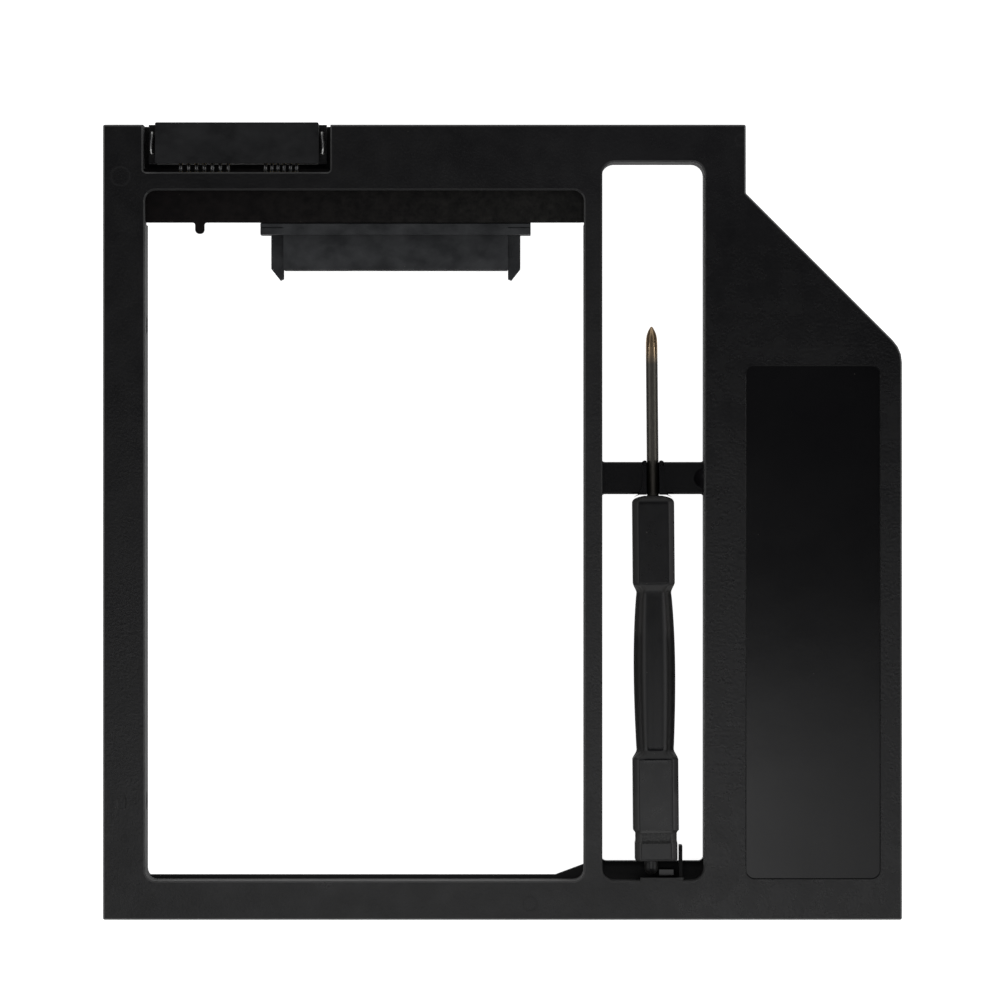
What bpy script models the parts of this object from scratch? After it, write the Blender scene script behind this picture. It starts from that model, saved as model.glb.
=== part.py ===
"""Optical-bay caddy for a 2.5-inch drive, with its board, connectors and stored screwdriver.

Metres, +Z up. The caddy lies on its underside: X runs across it, +Y points to the edge that
carries the host plug, and the origin is the middle of the base.
"""

import math

import bmesh
import bpy
from mathutils import Matrix, Vector

# Frame moulding
FRAME_WIDTH = 0.1280
FRAME_LENGTH = 0.1274
THICKNESS = 0.0095
SKIN = 0.0014
WALL = 0.0015
RIB = 0.0010
RIB_PITCH = 0.0120
SMALLEST_CELL = 0.0030
OUTER_CORNER = 0.0003
EDGE_BREAK = 0.00025

# Cut corner at the rear right, a 45 degree face; the neck is a share of the wide side
CORNER_STEP = 0.0110
CORNER_NECK_SHARE = 0.2096
CORNER_FILLET = 0.0050

# Drive and its bay; the side screws are placed by shares of the bay's length
DRIVE_WIDTH = 0.06985
DRIVE_CLEARANCE = 0.00025
DRIVE_CONTACT_HEIGHT = 0.0035
DRIVE_TO_SOCKET = 0.0005
SIDE_SCREW_SHARES = (0.1265, 0.8184)
SIDE_SCREW_HEIGHT = 0.0030
SIDE_SCREW_HOLE = 0.0032
SIDE_SCREW_ACCESS = 0.0050
LEFT_COLUMN = 0.0067
FRONT_BAR = 0.0062
REAR_BAND = 0.0105
BAY_CORNER = 0.0017
BAY_SILL_REACH = 0.0006
BAY_SILL_HEIGHT = 0.0018
GUSSET_WIDTH = 0.0045
GUSSET_LENGTH = 0.0019

# Tool slot, a share of the width beside the bay, its front sill and the tool's pocket
CENTRE_RIB = 0.00295
SLOT_SHARE = 0.3406
SLOT_REAR_BAR = 0.0060
SLOT_CORNER = 0.0019
SLOT_SILL_REACH = 0.00285
SLOT_SILL_HEIGHT = 0.0034
SLOT_SILL_CORNER = 0.0008
COVE_RADIUS = 0.0032
COVE_DEPTH = 0.0009
POCKET_CLEARANCE = 0.0003
POCKET_WALL = 0.0005
POCKET_ARM = 0.0024
POCKET_TAB = 0.0005
POCKET_TAB_SIDE = 0.0018
POCKET_RIB = 0.0009
POCKET_RIB_LENGTH = 0.0023
POCKET_RIB_HEIGHT = 0.0012
POCKET_RIB_INSET = 0.0007
POCKET_REST_INSET = 0.0005

# Crossbar and tool clip
CROSSBAR_WIDTH = 0.00517
CROSSBAR_ABOVE_AXIS = 0.0009
CROSSBAR_BELOW_AXIS = 0.0036
CROSSBAR_EDGE = 0.0003
CROSSBAR_FILLET = 0.0005
CLIP_CLEARANCE = 0.00010
CLIP_WALL = 0.00060
CLIP_RISE = 0.0015
CLIP_FLARE = 0.0014
CLIP_FLARE_LENGTH = 0.0019
CLIP_FLARE_CURVE = ((1.0, 0.0), (0.6, 0.17), (0.2, 0.55), (0.0, 1.0))
CLIP_FIN = 0.00045
CLIP_ROOT_SHARE = 0.4
CLIP_BEAD = 0.0005
THUMB_RADIUS = 0.0016
THUMB_DEPTH = 0.0007
THUMB_DISH = ((0.35, 1.0), (0.68, 0.78), (0.90, 0.42), (1.0, 0.0))

# Shallow panel in the face, its side margins as shares of the wide side
PANEL_LEFT_SHARE = 0.2070
PANEL_RIGHT_SHARE = 0.1075
PANEL_FRONT_MARGIN = 0.0065
PANEL_REAR_MARGIN = 0.0059
PANEL_CORNER = 0.0015
PANEL_DEPTH = 0.00035

# Gate mark in the left column, a share of the length from the front
GATE_SHARE = 0.147
GATE_INSET = 0.0030
GATE_WIDTH = 0.0016
GATE_LENGTH = 0.0022
GATE_DEPTH = 0.0002

# Openings in the outer walls
HOOK_WIDTH = 0.0075
HOOK_HEIGHT = 0.0028
HOOK_BASE = 0.0028
HOOK_SHARES = (0.13, 0.50, 0.87)
BRACKET_HOLE = 0.0017
BRACKET_HOLE_HEIGHT = 0.0040
BRACKET_HOLE_INSET = 0.0020

# Circuit board and its fixings
BOARD_THICKNESS = 0.0010
BOARD_DEPTH = 0.0086
BOARD_CLEARANCE = 0.00025
BOARD_CORNER = 0.0003
BOARD_TAB_OFFSET = 0.0077
BOARD_TAB_WIDTH = 0.0015
BOARD_TAB_REACH = 0.0018
BOARD_TAB_END = 0.00065
BOARD_TAB_FILLET = 0.0004
BOSS_HEIGHT = 0.0009
SCREW_DIAMETER = 0.0014
SCREW_HEAD = 0.0028
SCREW_HEAD_HEIGHT = 0.0010
SCREW_HEAD_ROUND = ((0.70, 1.0), (0.93, 0.75), (1.0, 0.3))
SCREW_RECESS_LENGTH = 0.0013
SCREW_RECESS_WIDTH = 0.00035
SCREW_RECESS_DEPTH = 0.00055
SCREW_BITE = 0.0017
SCREW_SIDE_INSET = 0.0028
SCREW_CLEARANCE = 0.00005
CAPACITOR_SIZE = (0.0032, 0.0016, 0.0014)
RESISTOR_SIZE = (0.0016, 0.0008, 0.0005)
CHIP_SPACING = 0.0085
CHIP_CORNER = 0.0001

# Drive socket, 7 and 15 contacts
SOCKET_END = 0.00235
SOCKET_OFFSET = 0.00495
SOCKET_BASE = 0.0009
SOCKET_NOSE = 0.0057
SOCKET_FLANGE = 0.0017
SOCKET_FLANGE_WING = 0.00365
SOCKET_TAIL = 0.0028
SOCKET_HEEL = 0.00045
SOCKET_LIP = 0.0005
SOCKET_LIP_GROOVE = 0.0002
SOCKET_LIP_DEPTH = 0.0004
SOCKET_ARM_WIDTH = 0.0020
SOCKET_ARM_REACH = 0.0016
SOCKET_ARM_TIP = 0.00055
SOCKET_ARM_BLUNT = 0.00025
SOCKET_ARM_DROP = 0.0016
SOCKET_SLOT_DEPTH = 0.0054
SOCKET_SLOT_HEIGHT = 0.0017
SOCKET_SLOT_MARGIN = 0.0010
SOCKET_KEY = 0.0009
CONTACT_PITCH = 0.00127
CONTACT_WIDTH = 0.0006
CONTACT_THICKNESS = 0.0002
CONTACT_CLEARANCE = 0.00005
SIGNAL_CONTACTS = 7
DRIVE_POWER_CONTACTS = 15
DRIVE_GROUP_GAP = 0.0060
SOLDER_FOOT = 0.0009
SOLDER_TAB = 0.0014

# Host plug, 7 and 6 contacts
PLUG_SIGNAL_END = 0.00405
PLUG_POWER_END = 0.00355
PLUG_GROUP_GAP = 0.0060
PLUG_EAR = 0.0012
PLUG_SIDE_GAP = 0.0007
PLUG_DEPTH = 0.00655
PLUG_PROUD = 0.0004
PLUG_WALL = 0.0008
PLUG_BACK = 0.0015
PLUG_FACE_GAP = 0.0006
PLUG_FLOOR = 0.0032
PLUG_FLOOR_LAP = 0.0004
PLUG_EAR_SETBACK = 0.0002
PLUG_CLIP_SETBACK = 0.0014
PLUG_EAR_HEIGHT = 0.0016
PLUG_TAIL = 0.00085
PLUG_PAD = 0.0006
NOTCH_CORNER = 0.0005
NOTCH_LEFT = 0.0064
TONGUE_THICKNESS = 0.0011
TONGUE_MARGIN = 0.0009
HOST_POWER_CONTACTS = 6
HOST_POWER_PITCH = 0.0010
HOST_CONTACT_WIDTH = 0.00055
EAR_CLIP_THICKNESS = 0.00025
EAR_CLIP_WIDTH = 0.0006
EAR_CLIP_LENGTH = 0.0035
EAR_CLIP_GAP = 0.0003

# Stored screwdriver, lengths along its axis from the butt
TOOL_TILT = math.radians(0.5)
HANDLE_LENGTH = 0.05865
HANDLE_BLOCK = 0.0073
HANDLE_BUTT = 0.0068
HANDLE_TOP_BLOCK = 0.0067
HANDLE_WAIST = 0.0056
HANDLE_LOWER_WAIST = 0.0060
HANDLE_SWELL = 0.0067
HANDLE_BLOCK_LENGTH = 0.0163
HANDLE_TOP_LENGTH = 0.0140
HANDLE_SHOULDER = 0.0016
HANDLE_NOSE = 0.0007
HANDLE_NOSE_CURVE = ((0.95, 1.0), (0.81, 0.5), (0.42, 0.0))
HANDLE_GROOVE_START = 0.0028
HANDLE_GROOVE = 0.0022
HANDLE_GROOVE_DEPTH = 0.00033
HANDLE_FACET = 0.0009
HANDLE_FLUTES = 6
HANDLE_FLUTE_DEPTH = 0.00035
HANDLE_SIDES = 48
HANDLE_PEG = 0.0022
HANDLE_PEG_LENGTH = 0.0023
HANDLE_PEG_OFFSET = -0.0008
TOOL_FACE_GAP = 0.0008
TOOL_END_GAP = 0.00025
SHAFT_DIAMETER = 0.0019
SHAFT_REACH = 0.0272
SHAFT_SOCKET = 0.0120
SHAFT_FIT = 0.00005
POINT_LENGTH = 0.0052
POINT_DIAMETER = 0.0006
POINT_TAPER = ((1.0, 1.0), (0.92, 0.6), (0.72, 0.25))
POINT_FLUTES = 4
FLUTE_WIDTH = 0.0016
FLUTE_DEPTH = 0.0019
FLUTE_ROOT = 0.00008

# Fits, cutter overrun and roundness
SEAT_GAP = 0.0001
OVERLAP = 0.0006
OVERRUN = 0.0010
ARC_STEP = math.radians(15.0)
ROUND_SIDES = 24

# Places that follow from the sizes
X_LEFT = -FRAME_WIDTH / 2
X_RIGHT = FRAME_WIDTH / 2
Y_FRONT = -(FRAME_LENGTH + PLUG_PROUD) / 2
Y_REAR = Y_FRONT + FRAME_LENGTH
SKIN_UNDER = THICKNESS - SKIN
BAY_LEFT = X_LEFT + LEFT_COLUMN
BAY_RIGHT = BAY_LEFT + DRIVE_WIDTH + 2 * DRIVE_CLEARANCE
BAY_FRONT = Y_FRONT + FRONT_BAR
BAY_REAR = Y_REAR - REAR_BAND
SLOT_LEFT = BAY_RIGHT + CENTRE_RIB
SLOT_RIGHT = SLOT_LEFT + SLOT_SHARE * (X_RIGHT - SLOT_LEFT)
SLOT_FRONT = BAY_FRONT
SLOT_REAR = Y_REAR - SLOT_REAR_BAR
WIDE_SIDE = X_RIGHT - SLOT_RIGHT
CORNER_X = SLOT_RIGHT + CORNER_NECK_SHARE * WIDE_SIDE
CORNER_Y = Y_REAR - CORNER_STEP
CORNER_SUM = CORNER_X + CORNER_Y

HOST_SIGNAL_SPAN = CONTACT_PITCH * (SIGNAL_CONTACTS - 1)
HOST_POWER_SPAN = HOST_POWER_PITCH * (HOST_POWER_CONTACTS - 1)
PLUG_BODY = (PLUG_SIGNAL_END + HOST_SIGNAL_SPAN + PLUG_GROUP_GAP + HOST_POWER_SPAN
             + PLUG_POWER_END)
PLUG_CENTRE = X_LEFT + NOTCH_LEFT + PLUG_SIDE_GAP + PLUG_EAR + PLUG_BODY / 2
PLUG_HALF = PLUG_BODY / 2
PLUG_NOSE = Y_REAR + PLUG_PROUD
PLUG_REAR = PLUG_NOSE - PLUG_DEPTH
PLUG_BASE = PLUG_FLOOR + POCKET_CLEARANCE
PLUG_TOP = THICKNESS - PLUG_FACE_GAP
NOTCH_RIGHT = PLUG_CENTRE + PLUG_HALF + PLUG_EAR + PLUG_SIDE_GAP
BOARD_REAR = PLUG_REAR - PLUG_TAIL
NOTCH_FRONT = BOARD_REAR - PLUG_PAD
PLUG_FLOOR_FRONT = NOTCH_FRONT - PLUG_FLOOR_LAP
BOARD_FRONT = BOARD_REAR - BOARD_DEPTH
BOARD_LEFT = BAY_LEFT + BOARD_CLEARANCE
BOARD_RIGHT = BAY_RIGHT - BOARD_CLEARANCE
BOARD_TOP = SKIN_UNDER - BOSS_HEIGHT - SEAT_GAP
BOARD_UNDER = BOARD_TOP - BOARD_THICKNESS
BOARD_POCKET_REAR = BOARD_REAR + BOARD_CLEARANCE
SCREW_Y = (BAY_REAR + NOTCH_FRONT) / 2
BOSS_RADIUS = (NOTCH_FRONT - BAY_REAR) / 2 - SCREW_CLEARANCE
SCREW_PLACES = {"left": BAY_LEFT + SCREW_SIDE_INSET, "right": BAY_RIGHT - SCREW_SIDE_INSET}

DRIVE_SIGNAL_SPAN = CONTACT_PITCH * (SIGNAL_CONTACTS - 1)
DRIVE_POWER_SPAN = CONTACT_PITCH * (DRIVE_POWER_CONTACTS - 1)
SOCKET_WIDTH = DRIVE_SIGNAL_SPAN + DRIVE_GROUP_GAP + DRIVE_POWER_SPAN + 2 * SOCKET_END
SOCKET_CENTRE = (BAY_LEFT + BAY_RIGHT) / 2 + SOCKET_OFFSET
SOCKET_LEFT = SOCKET_CENTRE - SOCKET_WIDTH / 2
SOCKET_RIGHT = SOCKET_CENTRE + SOCKET_WIDTH / 2
SOCKET_TOP = BOARD_UNDER - SEAT_GAP
FLANGE_REAR = BOARD_FRONT - 2 * SEAT_GAP
FLANGE_FRONT = FLANGE_REAR - SOCKET_FLANGE
SOCKET_FRONT = FLANGE_FRONT - SOCKET_NOSE
SOCKET_REAR = FLANGE_REAR + SOCKET_TAIL
SLOT_BACK = SOCKET_FRONT + SOCKET_SLOT_DEPTH
DRIVE_REAR = FLANGE_FRONT - DRIVE_TO_SOCKET
SIDE_SCREW_Y = [DRIVE_REAR - share * (BAY_REAR - BAY_FRONT) for share in SIDE_SCREW_SHARES]

AXIS_X = (SLOT_LEFT + SLOT_RIGHT) / 2
AXIS_Z = THICKNESS - TOOL_FACE_GAP - HANDLE_BLOCK / 2
BUTT_Y = SLOT_FRONT + SLOT_SILL_REACH + TOOL_END_GAP
HANDLE_TOP_Y = BUTT_Y + HANDLE_LENGTH
CROSSBAR_FRONT = HANDLE_TOP_Y + TOOL_END_GAP
CROSSBAR_REAR = CROSSBAR_FRONT + CROSSBAR_WIDTH
CROSSBAR_MIDDLE = (CROSSBAR_FRONT + CROSSBAR_REAR) / 2
CROSSBAR_TOP = AXIS_Z + CROSSBAR_ABOVE_AXIS
CROSSBAR_UNDER = AXIS_Z - CROSSBAR_BELOW_AXIS
CLIP_BORE = SHAFT_DIAMETER / 2 + CLIP_CLEARANCE


def clear_scene():
    """Starts from an empty scene."""
    for item in list(bpy.data.objects):
        bpy.data.objects.remove(item, do_unlink=True)


def plastic_or_metal(name, colour, roughness, metallic=0.0):
    """A plain Principled material."""
    material = bpy.data.materials.new(name)
    material.use_nodes = True
    shader = material.node_tree.nodes["Principled BSDF"]
    shader.inputs["Base Color"].default_value = (*colour, 1.0)
    shader.inputs["Roughness"].default_value = roughness
    shader.inputs["Metallic"].default_value = metallic
    return material


def add_object(name, mesh):
    """Links a mesh into the scene as an object."""
    item = bpy.data.objects.new(name, mesh)
    bpy.context.scene.collection.objects.link(item)
    return item


def solid(name, rings):
    """A closed object skinned over rings that have equally many points."""
    form = bmesh.new()
    loops = [[form.verts.new(point) for point in ring] for ring in rings]
    count = len(loops[0])
    for lower, upper in zip(loops, loops[1:]):
        for i in range(count):
            j = (i + 1) % count
            form.faces.new((lower[i], lower[j], upper[j], upper[i]))
    form.faces.new(loops[0][::-1])
    form.faces.new(loops[-1])
    bmesh.ops.recalc_face_normals(form, faces=form.faces)
    mesh = bpy.data.meshes.new(name)
    form.to_mesh(mesh)
    form.free()
    return add_object(name, mesh)


def joined(name, pieces):
    """One object from several that don't touch, for use as a single cutter."""
    form = bmesh.new()
    for piece in pieces:
        form.from_mesh(piece.data)
    mesh = bpy.data.meshes.new(name)
    form.to_mesh(mesh)
    form.free()
    for piece in pieces:
        bpy.data.objects.remove(piece, do_unlink=True)
    return add_object(name, mesh)


def combine(target, tool, operation):
    """Applies one exact Boolean to the target and removes the tool."""
    modifier = target.modifiers.new("combine", "BOOLEAN")
    modifier.operation = operation
    modifier.solver = "EXACT"
    modifier.object = tool
    bpy.context.view_layer.update()
    graph = bpy.context.evaluated_depsgraph_get()
    mesh = bpy.data.meshes.new_from_object(target.evaluated_get(graph))
    target.modifiers.clear()
    target.data = mesh
    bpy.data.objects.remove(tool, do_unlink=True)


def cut(target, tool):
    """Takes the tool's volume away from the target."""
    combine(target, tool, "DIFFERENCE")


def add(target, tool):
    """Adds the tool's volume to the target."""
    combine(target, tool, "UNION")


def offset_corners(corners, inset):
    """Moves each side of a counter-clockwise outline inwards by inset, radii included."""
    moved = []
    count = len(corners)
    for i, (x, y, radius) in enumerate(corners):
        here = Vector((x, y))
        before = (here - Vector(corners[i - 1][:2])).normalized()
        after = (Vector(corners[(i + 1) % count][:2]) - here).normalized()
        turn = before.x * after.y - before.y * after.x
        normal_before = Vector((-before.y, before.x))
        normal_after = Vector((-after.y, after.x))
        bisector = (normal_before + normal_after).normalized()
        reach = inset / bisector.dot(normal_before)
        place = here + bisector * reach
        change = -inset if turn > 0 else inset
        moved.append((place.x, place.y, radius + change if radius else 0.0))
    return moved


def rounded(corners):
    """The points of an outline whose corners (x, y, radius) are rounded by arcs."""
    points = []
    count = len(corners)
    for i, (x, y, radius) in enumerate(corners):
        here = Vector((x, y))
        if radius <= 0.0:
            points.append(here)
            continue
        before = (Vector(corners[i - 1][:2]) - here).normalized()
        after = (Vector(corners[(i + 1) % count][:2]) - here).normalized()
        turn = math.pi - before.angle(after)
        tangent = radius * math.tan(turn / 2)
        centre = here + (before + after).normalized() * (radius / math.cos(turn / 2))
        start = here + before * tangent - centre
        sense = 1.0 if before.x * after.y - before.y * after.x < 0 else -1.0
        steps = max(2, round(turn / ARC_STEP))
        for step in range(steps + 1):
            points.append(centre + Matrix.Rotation(sense * turn * step / steps, 2) @ start)
    return points


def prism(name, corners, levels):
    """A solid over a rounded outline, with levels of (height, inset)."""
    rings = []
    for height, inset in levels:
        outline = rounded(offset_corners(corners, inset))
        rings.append([(point.x, point.y, height) for point in outline])
    return solid(name, rings)


def rectangle(x0, x1, y0, y1, radius=0.0):
    """The corners of a rectangle, counter-clockwise."""
    return [(x0, y0, radius), (x1, y0, radius), (x1, y1, radius), (x0, y1, radius)]


def box(name, x0, x1, y0, y1, z0, z1, radius=0.0):
    """An upright block, with rounded upright edges if a radius is given."""
    return prism(name, rectangle(x0, x1, y0, y1, radius), [(z0, 0.0), (z1, 0.0)])


def opening(name, corners, z0=-OVERRUN):
    """A cutter through the face, flared so that the edge there is broken."""
    flare = EDGE_BREAK + OVERRUN
    levels = [(z0, 0.0), (THICKNESS - EDGE_BREAK, 0.0), (THICKNESS + OVERRUN, -flare)]
    return prism(name, corners, levels)


def extrusion_x(name, profile, x0, x1):
    """A profile of (y, z) points, extruded across the part."""
    return solid(name, [[(x, y, z) for y, z in profile] for x in (x0, x1)])


def extrusion_y(name, profile, y0, y1):
    """A profile of (x, z) points, extruded along the part."""
    return solid(name, [[(x, y, z) for x, z in profile] for y in (y0, y1)])


def circle(radius, sides=ROUND_SIDES, start=0.0, sweep=2 * math.pi):
    """Points on a circle, or on an arc of it with both ends."""
    closed = abs(sweep) >= 2 * math.pi
    steps = sides if closed else sides - 1
    angles = [start + sweep * i / steps for i in range(sides)]
    return [(radius * math.cos(a), radius * math.sin(a)) for a in angles]


def post(name, x, y, profile, sides=ROUND_SIDES):
    """An upright turned solid from a profile of (radius, height)."""
    rings = []
    for radius, height in profile:
        rings.append([(x + u, y + v, height) for u, v in circle(radius, sides)])
    return solid(name, rings)


def bar_x(name, y, z, radius, x0, x1, sides=ROUND_SIDES):
    """A round bar lying across the part."""
    return extrusion_x(name, [(y + u, z + v) for u, v in circle(radius, sides)], x0, x1)


def cells(x0, x1, y0, y1):
    """Rectangles that fill an area in even steps, with ribs between them."""
    columns = max(1, math.ceil((x1 - x0 + RIB) / RIB_PITCH))
    rows = max(1, math.ceil((y1 - y0 + RIB) / RIB_PITCH))
    width = (x1 - x0 - RIB * (columns - 1)) / columns
    depth = (y1 - y0 - RIB * (rows - 1)) / rows
    found = []
    for column in range(columns):
        for row in range(rows):
            left = x0 + column * (width + RIB)
            front = y0 + row * (depth + RIB)
            found.append((left, left + width, front, front + depth))
    return found


def clipped_by_corner(cell):
    """A cell's corners where they lie inside the wall along the cut corner."""
    x0, x1, y0, y1 = cell
    limit = CORNER_SUM - WALL * math.sqrt(2)
    if x1 + y1 <= limit:
        return rectangle(x0, x1, y0, y1)
    if limit - x0 - y0 < SMALLEST_CELL:
        return None
    points = [(x0, y0)]
    if x1 + y0 <= limit:
        points.append((x1, y0))
        points.append((x1, limit - x1))
    else:
        points.append((limit - y0, y0))
    if x0 + y1 <= limit:
        points.append((limit - y1, y1))
        points.append((x0, y1))
    else:
        points.append((x0, limit - x0))
    return [(x, y, 0.0) for x, y in points]


def front_cells():
    """The pockets in the bar along the front edge."""
    return cells(BAY_LEFT - WALL + RIB, X_RIGHT - WALL, Y_FRONT + WALL, BAY_FRONT - WALL)


def underside_cells():
    """The outlines of the pockets that lighten the underside."""
    right, rear = X_RIGHT - WALL, Y_REAR - WALL
    boss = SIDE_SCREW_ACCESS / 2 + RIB
    stations = [Y_FRONT + WALL]
    for y in sorted(SIDE_SCREW_Y):
        stations += [y - boss, y + boss]
    stations.append(rear)
    found = []
    for start, end in zip(stations[::2], stations[1::2]):
        found += cells(X_LEFT + WALL, BAY_LEFT - WALL, start, end)
    found += front_cells()
    found += cells(NOTCH_RIGHT + WALL, BAY_RIGHT, BOARD_POCKET_REAR + RIB, rear)
    found += cells(SLOT_LEFT, SLOT_RIGHT, SLOT_REAR + WALL, rear)
    neck_front = CORNER_Y - WALL
    found += cells(SLOT_RIGHT + WALL, CORNER_X - WALL, neck_front + RIB, rear)
    outlines = [rectangle(*cell) for cell in found]
    for cell in cells(SLOT_RIGHT + WALL, right, BAY_FRONT, neck_front):
        outline = clipped_by_corner(cell)
        if outline:
            outlines.append(outline)
    return outlines


def frame_shell():
    """The moulding's outer form, hollowed from below."""
    corners = [
        (X_LEFT, Y_FRONT, OUTER_CORNER),
        (X_RIGHT, Y_FRONT, OUTER_CORNER),
        (X_RIGHT, CORNER_SUM - X_RIGHT, CORNER_FILLET),
        (CORNER_X, CORNER_Y, OUTER_CORNER),
        (CORNER_X, Y_REAR, OUTER_CORNER),
        (X_LEFT, Y_REAR, OUTER_CORNER),
    ]
    levels = [(0.0, 0.0), (THICKNESS - EDGE_BREAK, 0.0), (THICKNESS, EDGE_BREAK)]
    frame = prism("caddy_frame", corners, levels)
    depth = [(-OVERRUN, 0.0), (SKIN_UNDER, 0.0)]
    pockets = [prism("pocket", outline, depth) for outline in underside_cells()]
    cut(frame, joined("pockets", pockets))
    return frame


def cut_main_openings(frame):
    """The drive bay, the tool slot, the notch for the host plug and the board's space."""
    left, right = BAY_LEFT - BOARD_CLEARANCE, BAY_RIGHT + BOARD_CLEARANCE
    cut(frame, box("board_space", left, right, BOARD_FRONT - BOARD_CLEARANCE,
                   PLUG_FLOOR_FRONT, -OVERRUN, SKIN_UNDER))
    cut(frame, box("board_rear_space", left, right, PLUG_FLOOR_FRONT - OVERLAP,
                   BOARD_POCKET_REAR, PLUG_FLOOR, SKIN_UNDER))
    bay = rectangle(BAY_LEFT, BAY_RIGHT, BAY_FRONT, BAY_REAR, BAY_CORNER)
    cut(frame, opening("bay", bay))
    slot = rectangle(SLOT_LEFT, SLOT_RIGHT, SLOT_FRONT, SLOT_REAR, SLOT_CORNER)
    cut(frame, opening("slot", slot))
    notch_left = X_LEFT + NOTCH_LEFT
    beyond = Y_REAR + WALL * 2
    notch = [
        (notch_left, NOTCH_FRONT, NOTCH_CORNER),
        (NOTCH_RIGHT, NOTCH_FRONT, NOTCH_CORNER),
        (NOTCH_RIGHT, beyond, 0.0),
        (notch_left, beyond, 0.0),
    ]
    cut(frame, opening("notch", notch, PLUG_FLOOR))
    floor_cells = cells(notch_left + WALL, NOTCH_RIGHT - WALL,
                        PLUG_FLOOR_FRONT + RIB, Y_REAR - WALL)
    pockets = [box("pocket", *cell, -OVERRUN, PLUG_FLOOR - RIB) for cell in floor_cells]
    cut(frame, joined("floor_pockets", pockets))


def cut_panel(frame):
    """The shallow panel sunk into the wide side of the face."""
    right = X_RIGHT - PANEL_RIGHT_SHARE * WIDE_SIDE
    rear = CORNER_SUM - right - PANEL_REAR_MARGIN
    corners = rectangle(SLOT_RIGHT + PANEL_LEFT_SHARE * WIDE_SIDE, right,
                        Y_FRONT + PANEL_FRONT_MARGIN, rear, PANEL_CORNER)
    floor = THICKNESS - PANEL_DEPTH
    levels = [(floor, PANEL_DEPTH / 2), (THICKNESS + OVERRUN, -OVERRUN / 2)]
    cut(frame, prism("panel", corners, levels))


def cut_gate_mark(frame):
    """The shallow dimple that the moulding gate left in the left column."""
    x = X_LEFT + GATE_INSET
    y = Y_FRONT + GATE_SHARE * FRAME_LENGTH
    half = GATE_WIDTH / 2
    outline = rectangle(x - half, x + half, y - GATE_LENGTH / 2, y + GATE_LENGTH / 2,
                        half - GATE_DEPTH)
    levels = [(THICKNESS - GATE_DEPTH, GATE_DEPTH), (THICKNESS + OVERRUN, -OVERRUN)]
    cut(frame, prism("gate_mark", outline, levels))


def cut_wall_openings(frame):
    """Side screw holes, bezel hook slots and the rear bracket's screw holes."""
    middle = X_LEFT + LEFT_COLUMN / 2
    for y in SIDE_SCREW_Y:
        cut(frame, bar_x("hole", y, SIDE_SCREW_HEIGHT, SIDE_SCREW_HOLE / 2,
                         middle - OVERRUN, BAY_LEFT + OVERRUN, 16))
        cut(frame, bar_x("access", y, SIDE_SCREW_HEIGHT, SIDE_SCREW_ACCESS / 2,
                         X_LEFT - OVERRUN, middle, 20))
    spaces = front_cells()
    for share in HOOK_SHARES:
        left, right = spaces[int(share * len(spaces))][:2]
        x = (left + right) / 2
        cut(frame, box("hook", x - HOOK_WIDTH / 2, x + HOOK_WIDTH / 2, Y_FRONT - OVERRUN,
                       Y_FRONT + WALL + OVERRUN, HOOK_BASE, HOOK_BASE + HOOK_HEIGHT))
    for x in (SLOT_LEFT + BRACKET_HOLE_INSET, SLOT_RIGHT - BRACKET_HOLE_INSET):
        rings = []
        for y in (Y_REAR - WALL - OVERRUN, Y_REAR + OVERRUN):
            ring = circle(BRACKET_HOLE / 2, 16)
            rings.append([(x + u, y, BRACKET_HOLE_HEIGHT + v) for u, v in ring])
        cut(frame, solid("bracket_hole", rings))


def add_bay_sill(frame):
    """The low step along the bay's front edge, with its corner gusset."""
    inner = BAY_FRONT + BAY_SILL_REACH
    corners = [
        (BAY_LEFT - OVERLAP, BAY_FRONT - OVERLAP, 0.0),
        (BAY_RIGHT + OVERLAP, BAY_FRONT - OVERLAP, 0.0),
        (BAY_RIGHT + OVERLAP, inner + GUSSET_LENGTH, 0.0),
        (BAY_RIGHT - GUSSET_WIDTH, inner, 0.0),
        (BAY_LEFT - OVERLAP, inner, 0.0),
    ]
    add(frame, prism("bay_sill", corners, [(0.0, 0.0), (BAY_SILL_HEIGHT, 0.0)]))


def add_slot_sill(frame):
    """The coved sill across the front of the tool slot."""
    inner = SLOT_FRONT + SLOT_SILL_REACH
    past = inner + SLOT_SILL_CORNER * 2
    corners = [
        (SLOT_LEFT - OVERLAP, SLOT_FRONT - OVERLAP, 0.0),
        (SLOT_RIGHT + OVERLAP, SLOT_FRONT - OVERLAP, 0.0),
        (SLOT_RIGHT + OVERLAP, past, 0.0),
        (SLOT_RIGHT + SEAT_GAP, past, 0.0),
        (SLOT_RIGHT, inner, SLOT_SILL_CORNER),
        (SLOT_LEFT, inner, SLOT_SILL_CORNER),
        (SLOT_LEFT - SEAT_GAP, past, 0.0),
        (SLOT_LEFT - OVERLAP, past, 0.0),
    ]
    sill = prism("slot_sill", corners, [(0.0, 0.0), (SLOT_SILL_HEIGHT, 0.0)])
    cove_z = SLOT_SILL_HEIGHT - COVE_DEPTH + COVE_RADIUS
    cut(sill, bar_x("cove", SLOT_FRONT + SLOT_SILL_REACH / 2, cove_z, COVE_RADIUS,
                    SLOT_LEFT - OVERRUN, SLOT_RIGHT + OVERRUN, 32))
    add(frame, sill)


def axis_x_at(y):
    """Where the tool's tilted axis lies at a given place along the part."""
    return AXIS_X - (y - CROSSBAR_MIDDLE) * math.tan(TOOL_TILT)


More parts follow.
